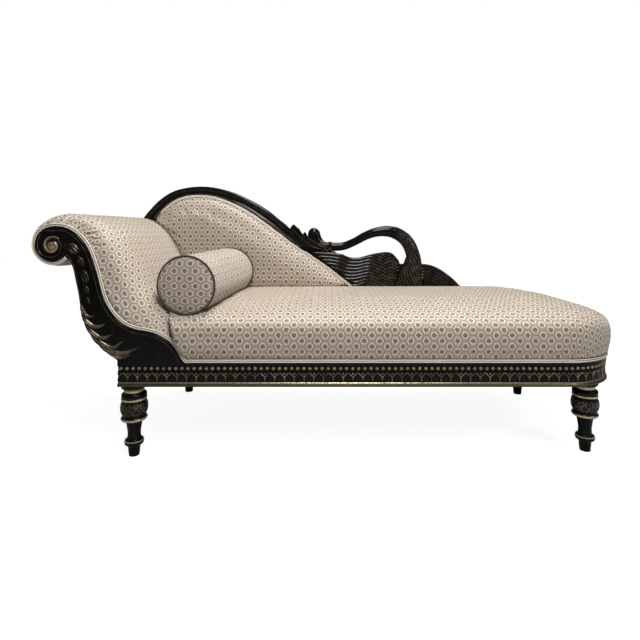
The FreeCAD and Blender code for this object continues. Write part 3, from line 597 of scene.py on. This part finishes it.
def swollen(data, held, cap):
    """Cloth pressure from inside, with some points held, and no point moved past the cap."""
    scene = bpy.context.scene
    work = linked("swelling", data.copy())
    start = coordinates(data)
    group = work.vertex_groups.new(name="held")
    group.add([int(i) for i in np.flatnonzero(held(start))], 1.0, "REPLACE")
    cloth = work.modifiers.new("cloth", "CLOTH")
    for key, value in {"quality": 3, "mass": 0.3, "tension_stiffness": 18,
                       "compression_stiffness": 18, "bending_stiffness": 1.5,
                       "use_pressure": True, "uniform_pressure_force": 4.0,
                       "vertex_group_mass": "held"}.items():
        setattr(cloth.settings, key, value)
    cloth.settings.effector_weights.gravity = 0
    cloth.point_cache.frame_start, cloth.point_cache.frame_end = 1, 20
    for step in range(1, 21):
        scene.frame_set(step)
    result = snapshot(work)
    moved = coordinates(result) - start
    bpy.data.objects.remove(work)
    scene.frame_set(1)
    length = np.linalg.norm(moved, axis=1)[:, None]
    return start + moved * np.minimum(1, cap / np.maximum(length, 1e-6))


def cushion(name, node, cloth, held, cap, voxel, rounds, shape, body="frame"):
    """A padded piece that stands for a node, in the honeycomb cloth.

    The solid's skin is made of even facets with eased edges, swollen, halved and then shaped.
    """
    data = modified(nodes[node].data.copy(),
                    ("REMESH", {"mode": "VOXEL", "voxel_size": voxel * MM}),
                    ("SMOOTH", {"factor": 0.5, "iterations": rounds}))
    put_back(data, swollen(data, held, cap))
    data = modified(data, ("SUBSURF", {"levels": 1}))
    put_back(data, shape(coordinates(data), vectors(data, "normal")))
    cloth_map(data, cloth(coordinates(data)))
    data.name = name
    piece = finished(name, data, fabric, body)
    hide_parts(node)


def along(points, line):
    """For flat points, the run of the nearest place on a line, and the distance off it."""
    runs = runs_along(line)
    best = np.full(len(points), np.inf)
    run = np.zeros(len(points))
    for k in range(len(line) - 1):
        edge = line[k + 1] - line[k]
        length = np.linalg.norm(edge)
        share = np.clip((points - line[k]) @ edge / length ** 2, 0, 1)
        off = np.linalg.norm(points - (line[k] + share[:, None] * edge), axis=1)
        run = np.where(off < best, runs[k] + share * length, run)
        best = np.minimum(off, best)
    return run, best


seat_profile = smooth([(inward, z) for z, inward in seat_levels], 6)
roll_line = smooth(roll_skin, 8)


def seat_cloth(p):
    """The seat's cloth lies flat on the crown and falls straight down its sides."""
    core = np.stack([np.minimum(p[:, 0], CORNER_X), np.clip(p[:, 1], -CORNER_Y, CORNER_Y)], axis=1)
    away = p[:, :2] - core
    reach = np.maximum(np.linalg.norm(away, axis=1), 1e-6)
    inward = CORNER_RADIUS - reach
    level = 160.0
    run, _ = along(np.stack([inward, p[:, 2]], axis=1), seat_profile)
    crown, _ = along(np.array([[level, 454.0]]), seat_profile)
    inset = np.where(inward > level, inward, run - crown[0] + level)
    return core + away / reach[:, None] * (CORNER_RADIUS - inset)[:, None]


def roll_cloth(p):
    run, off = along(p[:, [0, 2]], roll_line)
    past = np.where(np.abs(p[:, 1]) > 240, off, 0)
    return np.stack([-run, p[:, 1] + np.sign(p[:, 1]) * past], axis=1)


def back_cloth(p):
    return p[:, [0, 2]] + np.stack([np.zeros(len(p)), (p[:, 1] - 204) * 0.6], axis=1)


bolster_start = np.array([-461, -266, 520.8])
bolster_axis = np.array([48.5, 449.5, 9.8])
bolster_axis /= np.linalg.norm(bolster_axis)
bolster_side = np.cross(bolster_axis, (0, 0, 1))
bolster_side /= np.linalg.norm(bolster_side)
bolster_up = np.cross(bolster_side, bolster_axis)
BOLSTER_RADIUS, BOLSTER_LENGTH = 94.5, 452.0


def bolster_frame(p):
    local = p - bolster_start
    return local @ bolster_side, local @ bolster_axis, local @ bolster_up


def bolster_cloth(p):
    """Round the body the cloth wraps the axis, and each end is its own flat disc."""
    across, length, up = bolster_frame(p)
    radius = np.hypot(across, up)
    body = np.stack([np.arctan2(across, up) * BOLSTER_RADIUS, length], axis=1)
    disc = np.stack([up, across], axis=1)
    ends = (radius < BOLSTER_RADIUS - 5) & ((length < 6) | (length > BOLSTER_LENGTH - 6))
    return np.where(ends[:, None], disc, body)


def seat_held(p):
    return (p[:, 2] < 316) | (p[:, 1] > 238) | (p[:, 0] < -455)


def roll_held(p):
    _, off = along(p[:, [0, 2]], beside(smooth(scroll_edge, 8), 4))
    return (off < 5) | (p[:, 2] < 350) | (p[:, 1] > 246)


def back_held(p):
    return (p[:, 1] > 236) | (p[:, 2] < 470)


def bolster_held(p):
    across, length, up = bolster_frame(p)
    return (up < -88) | (np.hypot(across, up) > BOLSTER_RADIUS - 6) & (
        (length < 4) | (length > BOLSTER_LENGTH - 4))


def seat_shape(p, out):
    """The seat's foot sits down on the cord, and the bolster presses a hollow in its top."""
    p = p.copy()
    p[:, 2] -= 2.2 * np.clip((324 - p[:, 2]) / 16, 0, 1)
    across, length, up = bolster_frame(p)
    radius = np.hypot(across, up)
    under = (radius < BOLSTER_RADIUS + 1.6) & (up < 0) & (np.abs(length - BOLSTER_LENGTH / 2) < 240)
    grown = (BOLSTER_RADIUS + 1.6) / np.maximum(radius, 1)
    push = np.where(under, grown - 1, 0)[:, None]
    return p + push * (across[:, None] * bolster_side + up[:, None] * bolster_up)


def back_shape(p, out):
    """The pad's foot comes down to the seat."""
    p = p.copy()
    p[:, 2] -= 3.4 * np.clip((482 - p[:, 2]) / 16, 0, 1)
    return p


# Where the cloth is tucked at the roll's front edge: a place, and how deep.
TUCKS = (
    (-792, 724, 5.0), (-778, 716, 3.0), (-764, 707, 5.5), (-750, 697, 4.0), (-739, 685, 5.5),
    (-730, 668, 3.0), (-922, 662, 6.0), (-905, 640, 2.5), (-812, 733, 3.0), (-835, 737, 2.0),
    (-880, 722, 2.0), (-722, 648, 2.5),
)


def roll_shape(p, out):
    """Small tucks and gathers where the cloth turns over the roll's front edge."""
    near = np.clip((np.abs(p[:, 1]) - 272) / 24, 0, 1)
    depth = np.zeros(len(p))
    for x, z, deep in TUCKS:
        toward = np.array([x - EYE_X, z - EYE_Z], float)
        reach = np.linalg.norm(toward)
        toward /= reach
        away = p[:, [0, 2]] - (x, z)
        beyond = away @ toward
        cross = away @ (-toward[1], toward[0]) + 2.0 * np.sin(beyond / 6.0)
        width = 3.6 + np.clip(beyond, 0, 30) * 0.12
        depth += deep * np.exp(-(cross / width) ** 2) * np.exp(-(beyond / 26) ** 2)
    run, _ = along(p[:, [0, 2]], roll_line)
    whole = along(np.array([roll_skin[-1]], float), roll_line)[0][0]
    share = run / whole
    over = np.clip((share - 0.42) / 0.1, 0, 1) * np.clip((0.93 - share) / 0.08, 0, 1)
    fold = np.clip(np.cos(run / 3.1 + 1.3 * np.sin(run / 61.0)) - 0.2, 0, 1)
    return p - out * ((1.3 * depth + 1.5 * fold * over) * near)[:, None]


def bolster_shape(p, out):
    """Slack rings of cloth round the body, more towards the far end."""
    across, length, up = bolster_frame(p)
    turned = np.arctan2(across, up)
    share = np.clip((length - 30) / 120, 0, 1) * np.clip((BOLSTER_LENGTH - 12 - length) / 40, 0, 1)
    wave = (np.sin(length / 9.5 + 1.6 * np.sin(turned * 2.0))
            + 0.6 * np.sin(length / 5.3 + turned * 3))
    return p + out * (0.75 * share * wave)[:, None]


cushion("seat_cushion", "seat_pad", seat_cloth, seat_held, 4.0, 7.0, 5, seat_shape)
cushion("rolled_arm_cushion", "head_pad", roll_cloth, roll_held, 4.0, 6.0, 6, roll_shape)
cushion("back_cushion", "back_pad", back_cloth, back_held, 4.0, 6.0, 6, back_shape)
cushion("bolster_cushion", "bolster", bolster_cloth, bolster_held, 3.0, 5.0, 3,
        bolster_shape, body="bolster")


# Sheets of cloth
def sheet_piece(name, node, material, slot, cloth=None, sag=0.0, **declared):
    """A cover that stands for a node, with even facets, its own cloth map and a little sag."""
    mesh = bmesh.new()
    mesh.from_mesh(nodes[node].data)
    for _ in range(6):
        long_edges = [edge for edge in mesh.edges if edge.calc_length() > 0.04]
        bmesh.ops.subdivide_edges(mesh, edges=long_edges, cuts=1)
        bmesh.ops.triangulate(mesh, faces=mesh.faces)
    data = bpy.data.meshes.new(name)
    mesh.to_mesh(data)
    mesh.free()
    p = coordinates(data)
    if sag:
        inside = (np.clip((300 - np.abs(p[:, 1])) / 150, 0, 1)
                  * np.clip((p[:, 0] + 640) / 200, 0, 1) * np.clip((904 - p[:, 0]) / 200, 0, 1))
        ripple = 0.7 + 0.3 * np.sin(p[:, 0] / 70) * np.cos(p[:, 1] / 55)
        p[:, 2] -= sag * np.sqrt(inside) * ripple
        put_back(data, p)
    if cloth:
        cloth_map(data, cloth(p))
    piece = finished(name, data, material, flat=True)
    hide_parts(node)


def stem_cloth(p):
    run, _ = along(p[:, [0, 2]], smooth(scroll_outside, 8))
    return np.stack([run, p[:, 1]], axis=1)


sheet_piece("head_outside_cloth", "head_outside_cover", fabric, "cover_fabric", stem_cloth,
            flat=(0.584, 0.332), held="stretched", rests_on=["front_scroll", "rear_scroll"])
sheet_piece("back_outside_cloth", "back_outside_cover", fabric, "cover_fabric",
            lambda p: p[:, [0, 2]], flat=(0.883, 0.563), area=0.295, held="stretched",
            rests_on=["crest_rail"])
sheet_piece("underside_dust_cloth", "dust_cover", black_dust, "dust_cloth", sag=5.0,
            flat=(1.545, 0.608), area=0.905, held="stretched", rests_on=["front_seat_rail"])


# Cords and pipings
def welts():
    """The double welt climbs each scroll's edge and runs on round the foot of the seat."""
    edge = smooth(scroll_edge, 6)[::-1]
    for name, node, sign in (("front_welt", "front_scroll_welt", -1),
                             ("rear_welt", "rear_scroll_welt", 1)):
        batch = Relief()
        for off_edge, z, out in ((2.4, 296.4, 202.0), (8.2, 302.2, 202.0)):
            path = upright(beside(edge, -off_edge)[2:-2], sign * 313.6)
            if sign < 0:
                first = -446 - RAIL_LEFT + 2.5 * (off_edge - 2.6) / 5.8
                rail_part = rim_points(np.arange(first, RIM_LENGTH, 10.0), out, z)
                path = smooth(np.vstack([path, rail_part]), 7)
            batch.tube(path, 2.15, 8, up=(0, 0.7, 0.7))
        batch.piece(name, welt_cord, "welt_cord",
                    stands_for=[node, "seat_welt"] if sign < 0 else [node])


def back_welt():
    line = smooth(crest_in[5:] + border[1:], 8)
    batch = Relief()
    for off, y in ((2.0, 236.6), (7.4, 234.4)):
        batch.tube(upright(beside(line, off), y), 2.0, 8)
    batch.piece("back_double_welt", welt_cord, "welt_cord", stands_for=["back_welt"])


def pipings():
    turn = np.linspace(0, 2 * math.pi, 97)[:-1]
    for name, node, at in (("front_dark_piping", "bolster_front_piping", 2.2),
                           ("rear_dark_piping", "bolster_rear_piping", BOLSTER_LENGTH - 2.2)):
        batch = Relief()
        out = np.cos(turn)[:, None] * bolster_up + np.sin(turn)[:, None] * bolster_side
        centre = bolster_start + bolster_axis * at
        small = np.linspace(0, 2 * math.pi, 8, endpoint=False)
        grid = (centre + out[:, None, :] * (BOLSTER_RADIUS - 1 + 3.0 * np.cos(small))[None, :, None]
                + bolster_axis * (3.0 * np.sin(small))[None, :, None])
        grid = np.vstack([grid, grid[:1]])
        batch.grid(grid, around=True)
        batch.piece(name, dark_cord, "dark_cord", "bolster", stands_for=[node])


welts()
back_welt()
pipings()


# Carving
def plane(face, facing=-1):
    """A flat ground to carve on: across, up, and height out from the face."""
    return lambda a, b, h: np.stack([a, face + facing * h, b], axis=-1)


def leaf(batch, ground, spine, width, height, blunt=False, rows=14, columns=9, mark=1.0,
         strands=0.0, bare=0.72):
    """A carved blade along a spine: full in the middle, ribbed, with bronze along its edges."""
    line = smooth(spine, runs_along(np.asarray(spine, float))[-1] / (rows - 1))
    right = right_of(line)
    t = np.linspace(0, 1, len(line))[:, None]
    v = np.linspace(-1, 1, columns)[None, :]
    if blunt:
        wide = width * np.sqrt(np.clip(1 - t ** 5, 0, 1)) * np.clip(t * 6 + 0.5, 0, 1)
    else:
        wide = width * np.sin(math.pi * np.clip(t, 0.02, 0.985) ** 0.7) ** 0.75
    a = line[:, 0, None] + right[:, 0, None] * wide * v
    b = line[:, 1, None] + right[:, 1, None] * wide * v
    full = 0.45 + 0.55 * np.sin(math.pi * t ** 0.8)
    h = height * full * (1 - np.abs(v) ** 2.2) + 0.22 * height * (np.abs(v) < 0.1) - 0.6
    ridge = 0.5 + 0.5 * np.cos(2 * math.pi * 1.5 * v)
    h = h + strands * 0.14 * height * (ridge - 0.5)
    marks = np.clip((np.abs(v) - bare) / (1 - bare) * 1.2, 0.03, 1)
    marks = mark * np.maximum(marks, strands * (0.15 + 0.85 * ridge)) * np.ones_like(t)
    batch.grid(ground(a, b, h), marks)


def scale(batch, ground, at, heading, size, height=2.4, mark=1.0):
    """One small feather: flat at its root and lifted at its round tip."""
    at, heading = np.asarray(at, float), np.asarray(heading, float)
    heading = heading / np.linalg.norm(heading)
    cross = np.array([heading[1], -heading[0]])
    s = np.linspace(0, 1, 6)[:, None]
    v = np.linspace(-1, 1, 5)[None, :]
    wide = 0.55 * size * np.sqrt(np.clip(1 - np.clip((s - 0.35) / 0.65, 0, 1) ** 2, 0.01, 1))
    a = at[0] + heading[0] * size * s + cross[0] * wide * v
    b = at[1] + heading[1] * size * s + cross[1] * wide * v
    edge = np.maximum(np.abs(v), np.clip((s - 0.5) * 2, 0, 1))
    h = height * (0.25 + 0.75 * s) * (1 - 0.8 * edge ** 4) - 0.3
    batch.grid(ground(a, b, h), mark * np.clip((edge - 0.66) * 3.2, 0.02, 1))


def round_eye(x, degrees, reach):
    """Points round the volute's eye."""
    angle = np.radians(degrees)
    return np.stack([x + reach * np.cos(angle), EYE_Z + reach * np.sin(angle)], axis=1)


def scroll_ornament():
    """Raised edge, bronze line, eye, husks and acanthus on the scroll boards."""
    edge = smooth(scroll_edge, 5)
    turned, step = np.arange(115, 560, 25), np.arange(15)
    spiral = round_eye(EYE_X, turned, 50 - 0.08 * (turned - 90))
    line = smooth(np.vstack([beside(scroll_edge, -10.5)[:22], spiral]), 5)
    tail = round_eye(EYE_X + 1, 60 - 27 * step, 9 + 1.45 * step)
    tail = smooth(tail, 4)
    thick = np.linspace(7.5, 1.6, len(tail))
    for name, sign in (("front_scroll", -1), ("rear_scroll", 1)):
        face = sign * HALF_DEPTH
        up = np.array([0, sign, 0])
        black, bronze, eye = Relief(), Relief(), Relief()
        inner = beside(edge, -4.4)[1:-1]
        black.sweep(upright(inner, face), sideways(inner), up,
                    [(-4.2, -0.3), (-3.6, 1.6), (-1.6, 3.0), (0.8, 3.2), (3.0, 2.0), (4.0, -0.3)])
        back = smooth(scroll_outside[1:], 5)
        black.sweep(upright(beside(back, -3.2), face), sideways(back), up,
                    [(-2.6, -0.3), (-1.8, 1.5), (0, 2.0), (1.8, 1.5), (2.6, -0.3)],
                    np.array([0, 0.1, 0.25, 0.6, 0.2]))
        bronze.tube(upright(line, face + sign * 0.3), 1.0, 6, 0.45)
        eye.tube(upright(tail, face + sign * 0.8), thick, 8, 1.0, squash=0.8)
        rings = [(12.5, -0.5), (12, 2.5), (10.5, 5.0), (7.5, 6.9), (3.5, 7.9), (0.3, 8.2)]
        eye.grid(dome(np.array([EYE_X, face, EYE_Z]), up, np.array([1.0, 0, 0]), rings, 24),
                 1.0, around=True)
        eye.piece(name + "_gilt_eye", gold, "gilt_wood", stands_for=[name + "_eye"])
        black.piece(name + "_raised_edge")
        bronze.piece(name + "_bronze_line", slot="gilt_wood")
    ground = plane(-HALF_DEPTH)
    carving = Relief()
    # The husk drop down the stem: where each hangs, where it points, and its size.
    for at, to, wide in (((-817, 645), (-802, 645), 5), ((-801, 650), (-768, 626), 9.5),
                         ((-770, 616), (-754, 582), 6), ((-757, 574), (-744, 534), 8),
                         ((-750, 527), (-741, 500), 5.5), ((-743, 492), (-738, 470), 3.5)):
        at, to = np.array(at, float), np.array(to, float)
        along_it = to - at
        cross = np.array([along_it[1], -along_it[0]]) / np.linalg.norm(along_it)
        leaf(carving, ground, [at, at + along_it * 0.5, to], wide * 0.6, 4.5, mark=0.8, bare=0.5)
        for hand in (-1, 1):
            leaf(carving, ground, [at, at + along_it * 0.35 + cross * hand * wide * 0.95,
                                   at + along_it * 0.9 + cross * hand * wide * 0.85],
                 wide * 0.5, 3.5, mark=0.85, bare=0.35)
    lobes = (
        ((-762, 470), (-753, 446), (-738, 434), (-722, 436), 5.0),
        ((-759, 447), (-744, 418), (-716, 402), (-686, 411), 6.0),
        ((-751, 421), (-730, 388), (-697, 368), (-664, 381), 6.5),
        ((-737, 393), (-708, 358), (-668, 339), (-635, 359), 7.0),
        ((-716, 364), (-684, 335), (-640, 321), (-589, 338), 7.0),
        ((-692, 339), (-668, 320), (-640, 309), (-612, 318), 5.0),
    )
    for *spine, wide in lobes:
        leaf(carving, ground, spine, wide * 1.45, 7.0, rows=22, columns=13, mark=0.92, strands=1.0)
        inset = [(x + 5, z - 7) for x, z in spine[:3]]
        leaf(carving, ground, inset, wide * 0.6, 4.0, mark=0.4, strands=0.5)
    carving.piece("scroll_acanthus_and_husks")


def crest():
    """The crest moulding: a round outer edge, a hollow, and a beaded inner edge."""
    rows = 120
    outer, inner = (smooth(side, runs_along(smooth(side, 3))[-1] / (rows - 1))[:rows]
                    for side in (crest_out, crest_in))
    share_depth = [(0, 292), (0, 262), (0.02, 254), (0.08, 248.5), (0.17, 246.2), (0.27, 247),
                   (0.34, 250), (0.44, 251.8), (0.58, 252), (0.70, 250.4), (0.78, 247.6),
                   (0.85, 246.4), (0.92, 247.4), (0.97, 251), (1, 256), (1, 292)]
    marks = [0, 0, 0, 0, 0, 0.03, 0.08, 0.02, 0, 0, 0.08, 0.3, 0.22, 0.05, 0, 0]
    grid = np.array([[(o[0] + f * (i[0] - o[0]), y, o[1] + f * (i[1] - o[1]))
                      for f, y in share_depth] for o, i in zip(outer, inner)])
    batch = Relief()
    batch.grid(grid, marks, around=True, caps=True)
    batch.piece("crest_moulding", stands_for=["crest_rail"])


def head_rail():
    """The rail at the head end, blackened like the rest, with its edges eased."""
    low, high = (np.array(corner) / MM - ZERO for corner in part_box("head_seat_rail"))
    batch = Relief()
    ease = 2.0
    profile = [(low[0] + ease, low[2]), (low[0] + 0.5, low[2] + 0.5), (low[0], low[2] + ease),
               (low[0], high[2] - ease), (low[0] + 0.5, high[2] - 0.5), (low[0] + ease, high[2]),
               (high[0], high[2]), (high[0], low[2])]
    grid = np.array([[(x, y, z) for x, z in profile] for y in np.linspace(low[1], high[1], 12)])
    batch.grid(grid, [0, 0.15, 0, 0, 0.15, 0, 0, 0], around=True, caps=True)
    batch.piece("head_rail_blackened", flat=True, stands_for=["head_seat_rail"])


def rim_dome(run, out, z, rings):
    """A small dome on the rail's face."""
    at, facing = (pair[0] for pair in rim(np.array([run]), out))
    side = np.array([-facing[1], facing[0], 0])
    return dome(np.append(at, z), np.append(facing, 0), side, rings, 10)


def seat_frame_ornament():
    """A row of beads and a pointed arcade round the front and the foot end."""
    beads, pitch = Relief(), 18.5
    rings = ((5.6, 0), (5.5, 1.8), (4.7, 4.0), (3.0, 5.5), (0.3, 6.1))
    for k in range(int(RIM_LENGTH / pitch)):
        beads.grid(rim_dome(9 + k * pitch, 193.6, 275.3, rings), 1.0, around=True)
    beads.piece("bead_row", gold, "gilt_wood", stands_for=["bead_moulding"])
    arcade, count = Relief(), 75
    pitch = RIM_LENGTH / count

    def arch(left):
        """A whole arch from its left half, whose widths are in halves of the pitch."""
        return [(x * (pitch / 2), z) for x, z in left + [(-x, z) for x, z in left[-2::-1]]]

    rib = arch([(-1, 236.5), (-1, 246), (-0.84, 250.5), (-0.46, 256.5), (0, 262.6)])
    opening = arch([(-0.64, 236), (-0.64, 245.5), (-0.36, 250.3), (0, 255)])
    for k in range(count):
        middle = pitch * (k + 0.5)
        for points, radius, mark in ((rib, 1.6, 0.84), (opening, 1.0, 0.0)):
            line = smooth(points, 5)
            run = np.clip(middle + line[:, 0], 0, RIM_LENGTH - 0.1)
            arcade.tube(rim_points(run, 195.4, line[:, 1]), radius, 6, mark, up=(0.01, 0.02, 1))
        rings = ((2.6, 0), (2.3, 1.4), (0.3, 2.4))
        arcade.grid(rim_dome(pitch * k + 0.01, 195.0, 258.8, rings), 0.9, around=True)
    arcade.piece("pointed_arcade")


def leg_relief(turned, height):
    """Carving on the leg's vase: rosettes between curled leaves."""
    up = np.clip((height - 126) / 44, 0, 1)
    window = np.sin(math.pi * up) ** 0.5
    around = turned * 6 / (2 * math.pi)
    cell = around - np.floor(around) - 0.5
    across, tall = cell * 40, height - 148
    reach = np.hypot(across, tall)
    angle = np.arctan2(tall, across)
    petals = (0.5 + 0.5 * np.cos(5 * angle)) * np.exp(-((reach - 7) / 3.0) ** 2)
    button = np.exp(-(reach / 2.2) ** 2)
    curl = np.exp(-((np.abs(across) - 14 - 3.5 * np.sin(tall / 5.0)) / 1.7) ** 2)
    vein = 0.5 + 0.5 * np.cos(tall * 1.1 + np.abs(across) * 0.7)
    sprig = np.exp(-((np.abs(tall) - 13 - 3 * np.cos(across / 3.0)) / 1.8) ** 2)
    return window * np.maximum.reduce([petals, button, curl * (0.5 + 0.5 * vein), 0.8 * sprig,
                                       0.4 * vein * np.exp(-((np.abs(across) - 18) / 2) ** 2)])


def legs():
    """Turned legs with gilt rings, a carved vase and a plain tapered foot."""
    profile = []
    for (r0, z0), (r1, z1) in zip(leg_outline, leg_outline[1:]):
        steps = max(1, int(math.hypot(r1 - r0, z1 - z0) / 1.8))
        for k in range(steps):
            profile.append((r0 + (r1 - r0) * k / steps, z0 + (z1 - z0) * k / steps))
    profile.append(leg_outline[-1])
    profile = np.array(profile)
    profile[1:-1, 0] = profile[1:-1, 0] * 0.5 + (profile[:-2, 0] + profile[2:, 0]) * 0.25
    turn = np.linspace(0, 2 * math.pi, 132, endpoint=False)
    height = profile[:, 1][:, None]
    carved = leg_relief(turn[None, :], height)
    radius = profile[:, 0][:, None] + 2.6 * carved - 1.0 * (carved > 0)
    gold_band = np.zeros_like(height)
    for low, high in ((198, 210.5), (174, 181), (112.5, 120), (45, 49)):
        gold_band = np.maximum(gold_band, (height > low) & (height < high))
    marks = np.maximum(gold_band, np.clip(carved * 1.3 - 0.25, 0, 0.6))
    for name, x, y in (("front_left_leg", -615, -281), ("rear_left_leg", -615, 281),
                       ("front_right_leg", 799, -251), ("rear_right_leg", 799, 251)):
        grid = np.stack([x + radius * np.cos(turn), y + radius * np.sin(turn),
                         np.broadcast_to(height, radius.shape)], axis=-1)
        batch = Relief()
        batch.grid(grid, marks, around=True, caps=True)
        batch.piece(name + "_turned", stands_for=[name])


def oval_rings(rings, step):
    """Smooth skin through oval rings: place, heading, half width and half depth."""
    lined = smooth(rings, step)
    turn = np.linspace(0, 2 * math.pi, 28, endpoint=False)
    heading = np.radians(lined[:, 2])
    side = np.stack([np.sin(heading), np.zeros(len(lined)), -np.cos(heading)], axis=1)
    return (upright(lined[:, :2], NECK_Y)[:, None, :]
            + side[:, None, :] * (lined[:, 3, None] * np.cos(turn))[..., None]
            + np.array([0, 1.0, 0]) * (lined[:, 4, None] * np.sin(turn))[..., None])


def neck_ground():
    """The neck's skin as a ground: run down the neck, and distance round it."""
    lined = smooth(neck_rings, 2)
    run = runs_along(lined[:, :2])

    def ground(a, b, h):
        x, z, heading, wide, deep = (np.interp(a, run, lined[:, k]) for k in range(5))
        heading = np.radians(heading)
        turned = b / wide
        reach_side = (wide + h) * np.sin(turned)
        return np.stack([x + np.sin(heading) * reach_side, NECK_Y - (deep + h) * np.cos(turned),
                         z - np.cos(heading) * reach_side], axis=-1)

    return ground, run[-1]


def breast_ground(a, b, h):
    """The breast's skin: distance round it from its middle, and height."""
    levels = np.array([(432, 335, 62, 32), (465, 336, 60, 37), (500, 341, 53, 37),
                       (530, 349, 46, 33), (552, 352, 40, 29)], float)
    middle, wide, deep = (np.interp(b, levels[:, 0], levels[:, k]) for k in (1, 2, 3))
    turned = np.clip(a / 50.0, -1.5, 1.5)
    return np.stack([middle + (wide + h) * np.sin(turned), BREAST_Y - (deep + h) * np.cos(turned),
                     b + 0 * a], axis=-1)


def swan():
    """Neck, head, feathered wings and breast."""
    for name, rings, step in (("swan_neck", neck_rings, 7), ("swan_head", head_rings, 4)):
        skin = Relief()
        skin.grid(oval_rings(rings, step), 0.0, around=True, caps=True)
        skin.piece(name + "_skin", stands_for=[name])

    feathers = Relief()
    ground, length = neck_ground()
    start = length - 190
    for row, run in enumerate(np.arange(start, length - 8, 11.0)):
        size = 11 + 4 * (run - start) / 190
        for b in np.arange(-88, 89, size * 1.12):
            scale(feathers, ground, (run, b + (row % 2) * size * 0.56), (1, 0), size * 1.25, 2.0,
                  np.clip((run - start) / 60, 0.1, 0.7))
    for row, z in enumerate(np.arange(556, 440, -11.5)):
        for a in np.arange(-75, 76, 13.5):
            scale(feathers, breast_ground, (a + (row % 2) * 6.7, z), (0, -1), 16, 2.6, 0.8)
    flat = plane(WING_FACE)
    top = smooth(left_wing_top, 4)
    for column, x in enumerate(np.arange(286, 160, -12.0)):
        ceiling = np.interp(x, top[:, 0], top[:, 1])
        for z in np.arange(ceiling - 8 - (column % 2) * 7, 438, -14.0):
            if x + 5 < np.interp(z, (432, 465, 500, 532, 552), (266, 269, 281, 295, 292)):
                scale(feathers, flat, (x + 5, z), (-1, -0.12), 17, 2.8, 0.7)
    for z in np.arange(548, 470, -9.0):
        x = np.interp(z, (470, 500, 552), (288, 296, 314))
        scale(feathers, plane(BREAST_Y), (x, z), (-0.7, -0.7), 17, 3.0, 0.5)
    edge = smooth(border, 4)[::-1]
    for k in range(11):
        c = k + 0.45
        drop = 14.0 * c
        tip_z = 609 - drop
        tip_x = max(-118 + 6, float(np.interp(tip_z, edge[:, 1], edge[:, 0])) + 9)
        if tip_x > 140:
            break
        spine = [(176 - 3 * c, 591 - drop), (120 - 3 * c, 580 - drop), (75 - 3 * c, 583 - drop)]
        spine = [p for p in spine if p[0] > tip_x + 25]
        middle = (30 - 3 * c, 599 - drop)
        if middle[0] > tip_x + 25:
            spine.append(middle)
        spine.append((tip_x, tip_z - (2 if k else 0)))
        if len(spine) > 2:
            leaf(feathers, flat, spine, 8.2, 4.6, blunt=True, rows=26, mark=0.55)
    for k in range(5):
        line = beside(right_wing_top, 6.5 + 13 * k)
        line = line[line[:, 1] > 436][: 8]
        if len(line) > 2:
            leaf(feathers, flat, line, 7.6, 4.6, blunt=True, rows=20, mark=0.6)
    for wing_top in (left_wing_top, right_wing_top):
        feathers.tube(upright(beside(smooth(wing_top, 5), 1.5), WING_FACE + 2), 4.2, 8, 0.12)
    feathers.piece("swan_feathers")

    acanthus = Relief()
    for spine, wide in (([(-50, 618), (-112, 648), (-156, 688), (-157, 724)], 12),
                        ([(-36, 620), (-88, 648), (-122, 676), (-141, 712)], 9),
                        ([(-24, 618), (-66, 638), (-96, 662), (-109, 690)], 8),
                        ([(-90, 624), (-128, 640), (-152, 668), (-172, 704)], 9),
                        ([(-14, 612), (-60, 622), (-96, 634), (-125, 660)], 7)):
        leaf(acanthus, flat, spine, wide, 7.0, rows=20, mark=0.6)
    acanthus.piece("crest_acanthus")

    binding = Relief()
    turn = np.linspace(0, 2 * math.pi, 40)
    for x in (-9.5, -4.5, 0.5):
        path = np.stack([x + 1.5 * np.sin(turn), NECK_Y + 20.0 * np.cos(turn),
                         627.5 + 20.5 * np.sin(turn)], axis=1)
        binding.tube(path, 2.2, 7, 0.45 * np.clip(-1.5 * np.sin(turn) + 0.2, 0, 1)[:, None],
                     up=(1, 0.01, 0.02))
    binding.piece("neck_cord_binding", slot="gilt_wood", stands_for=["neck_binding"])
    hatch = Relief()
    for x, z, heading, wide, deep in smooth(head_rings, 5.0)[3:12]:
        side = np.array([math.sin(math.radians(heading)), 0, -math.cos(math.radians(heading))])
        part = np.radians(np.linspace(-175, -15, 14))[:, None]
        path = (np.array([x, NECK_Y, z]) - np.array([0, 1.0, 0]) * (deep + 0.3) * np.sin(-part)
                + side * (wide + 0.3) * np.cos(part))
        hatch.tube(path, 1.6, 6, 0.3, up=(0.3, 0.01, 0.9))
    hatch.piece("swan_bill_cords", slot="gilt_wood")


scroll_ornament()
crest()
head_rail()
seat_frame_ornament()
legs()
swan()

dress_nodes()
camera()
lights()
floor()
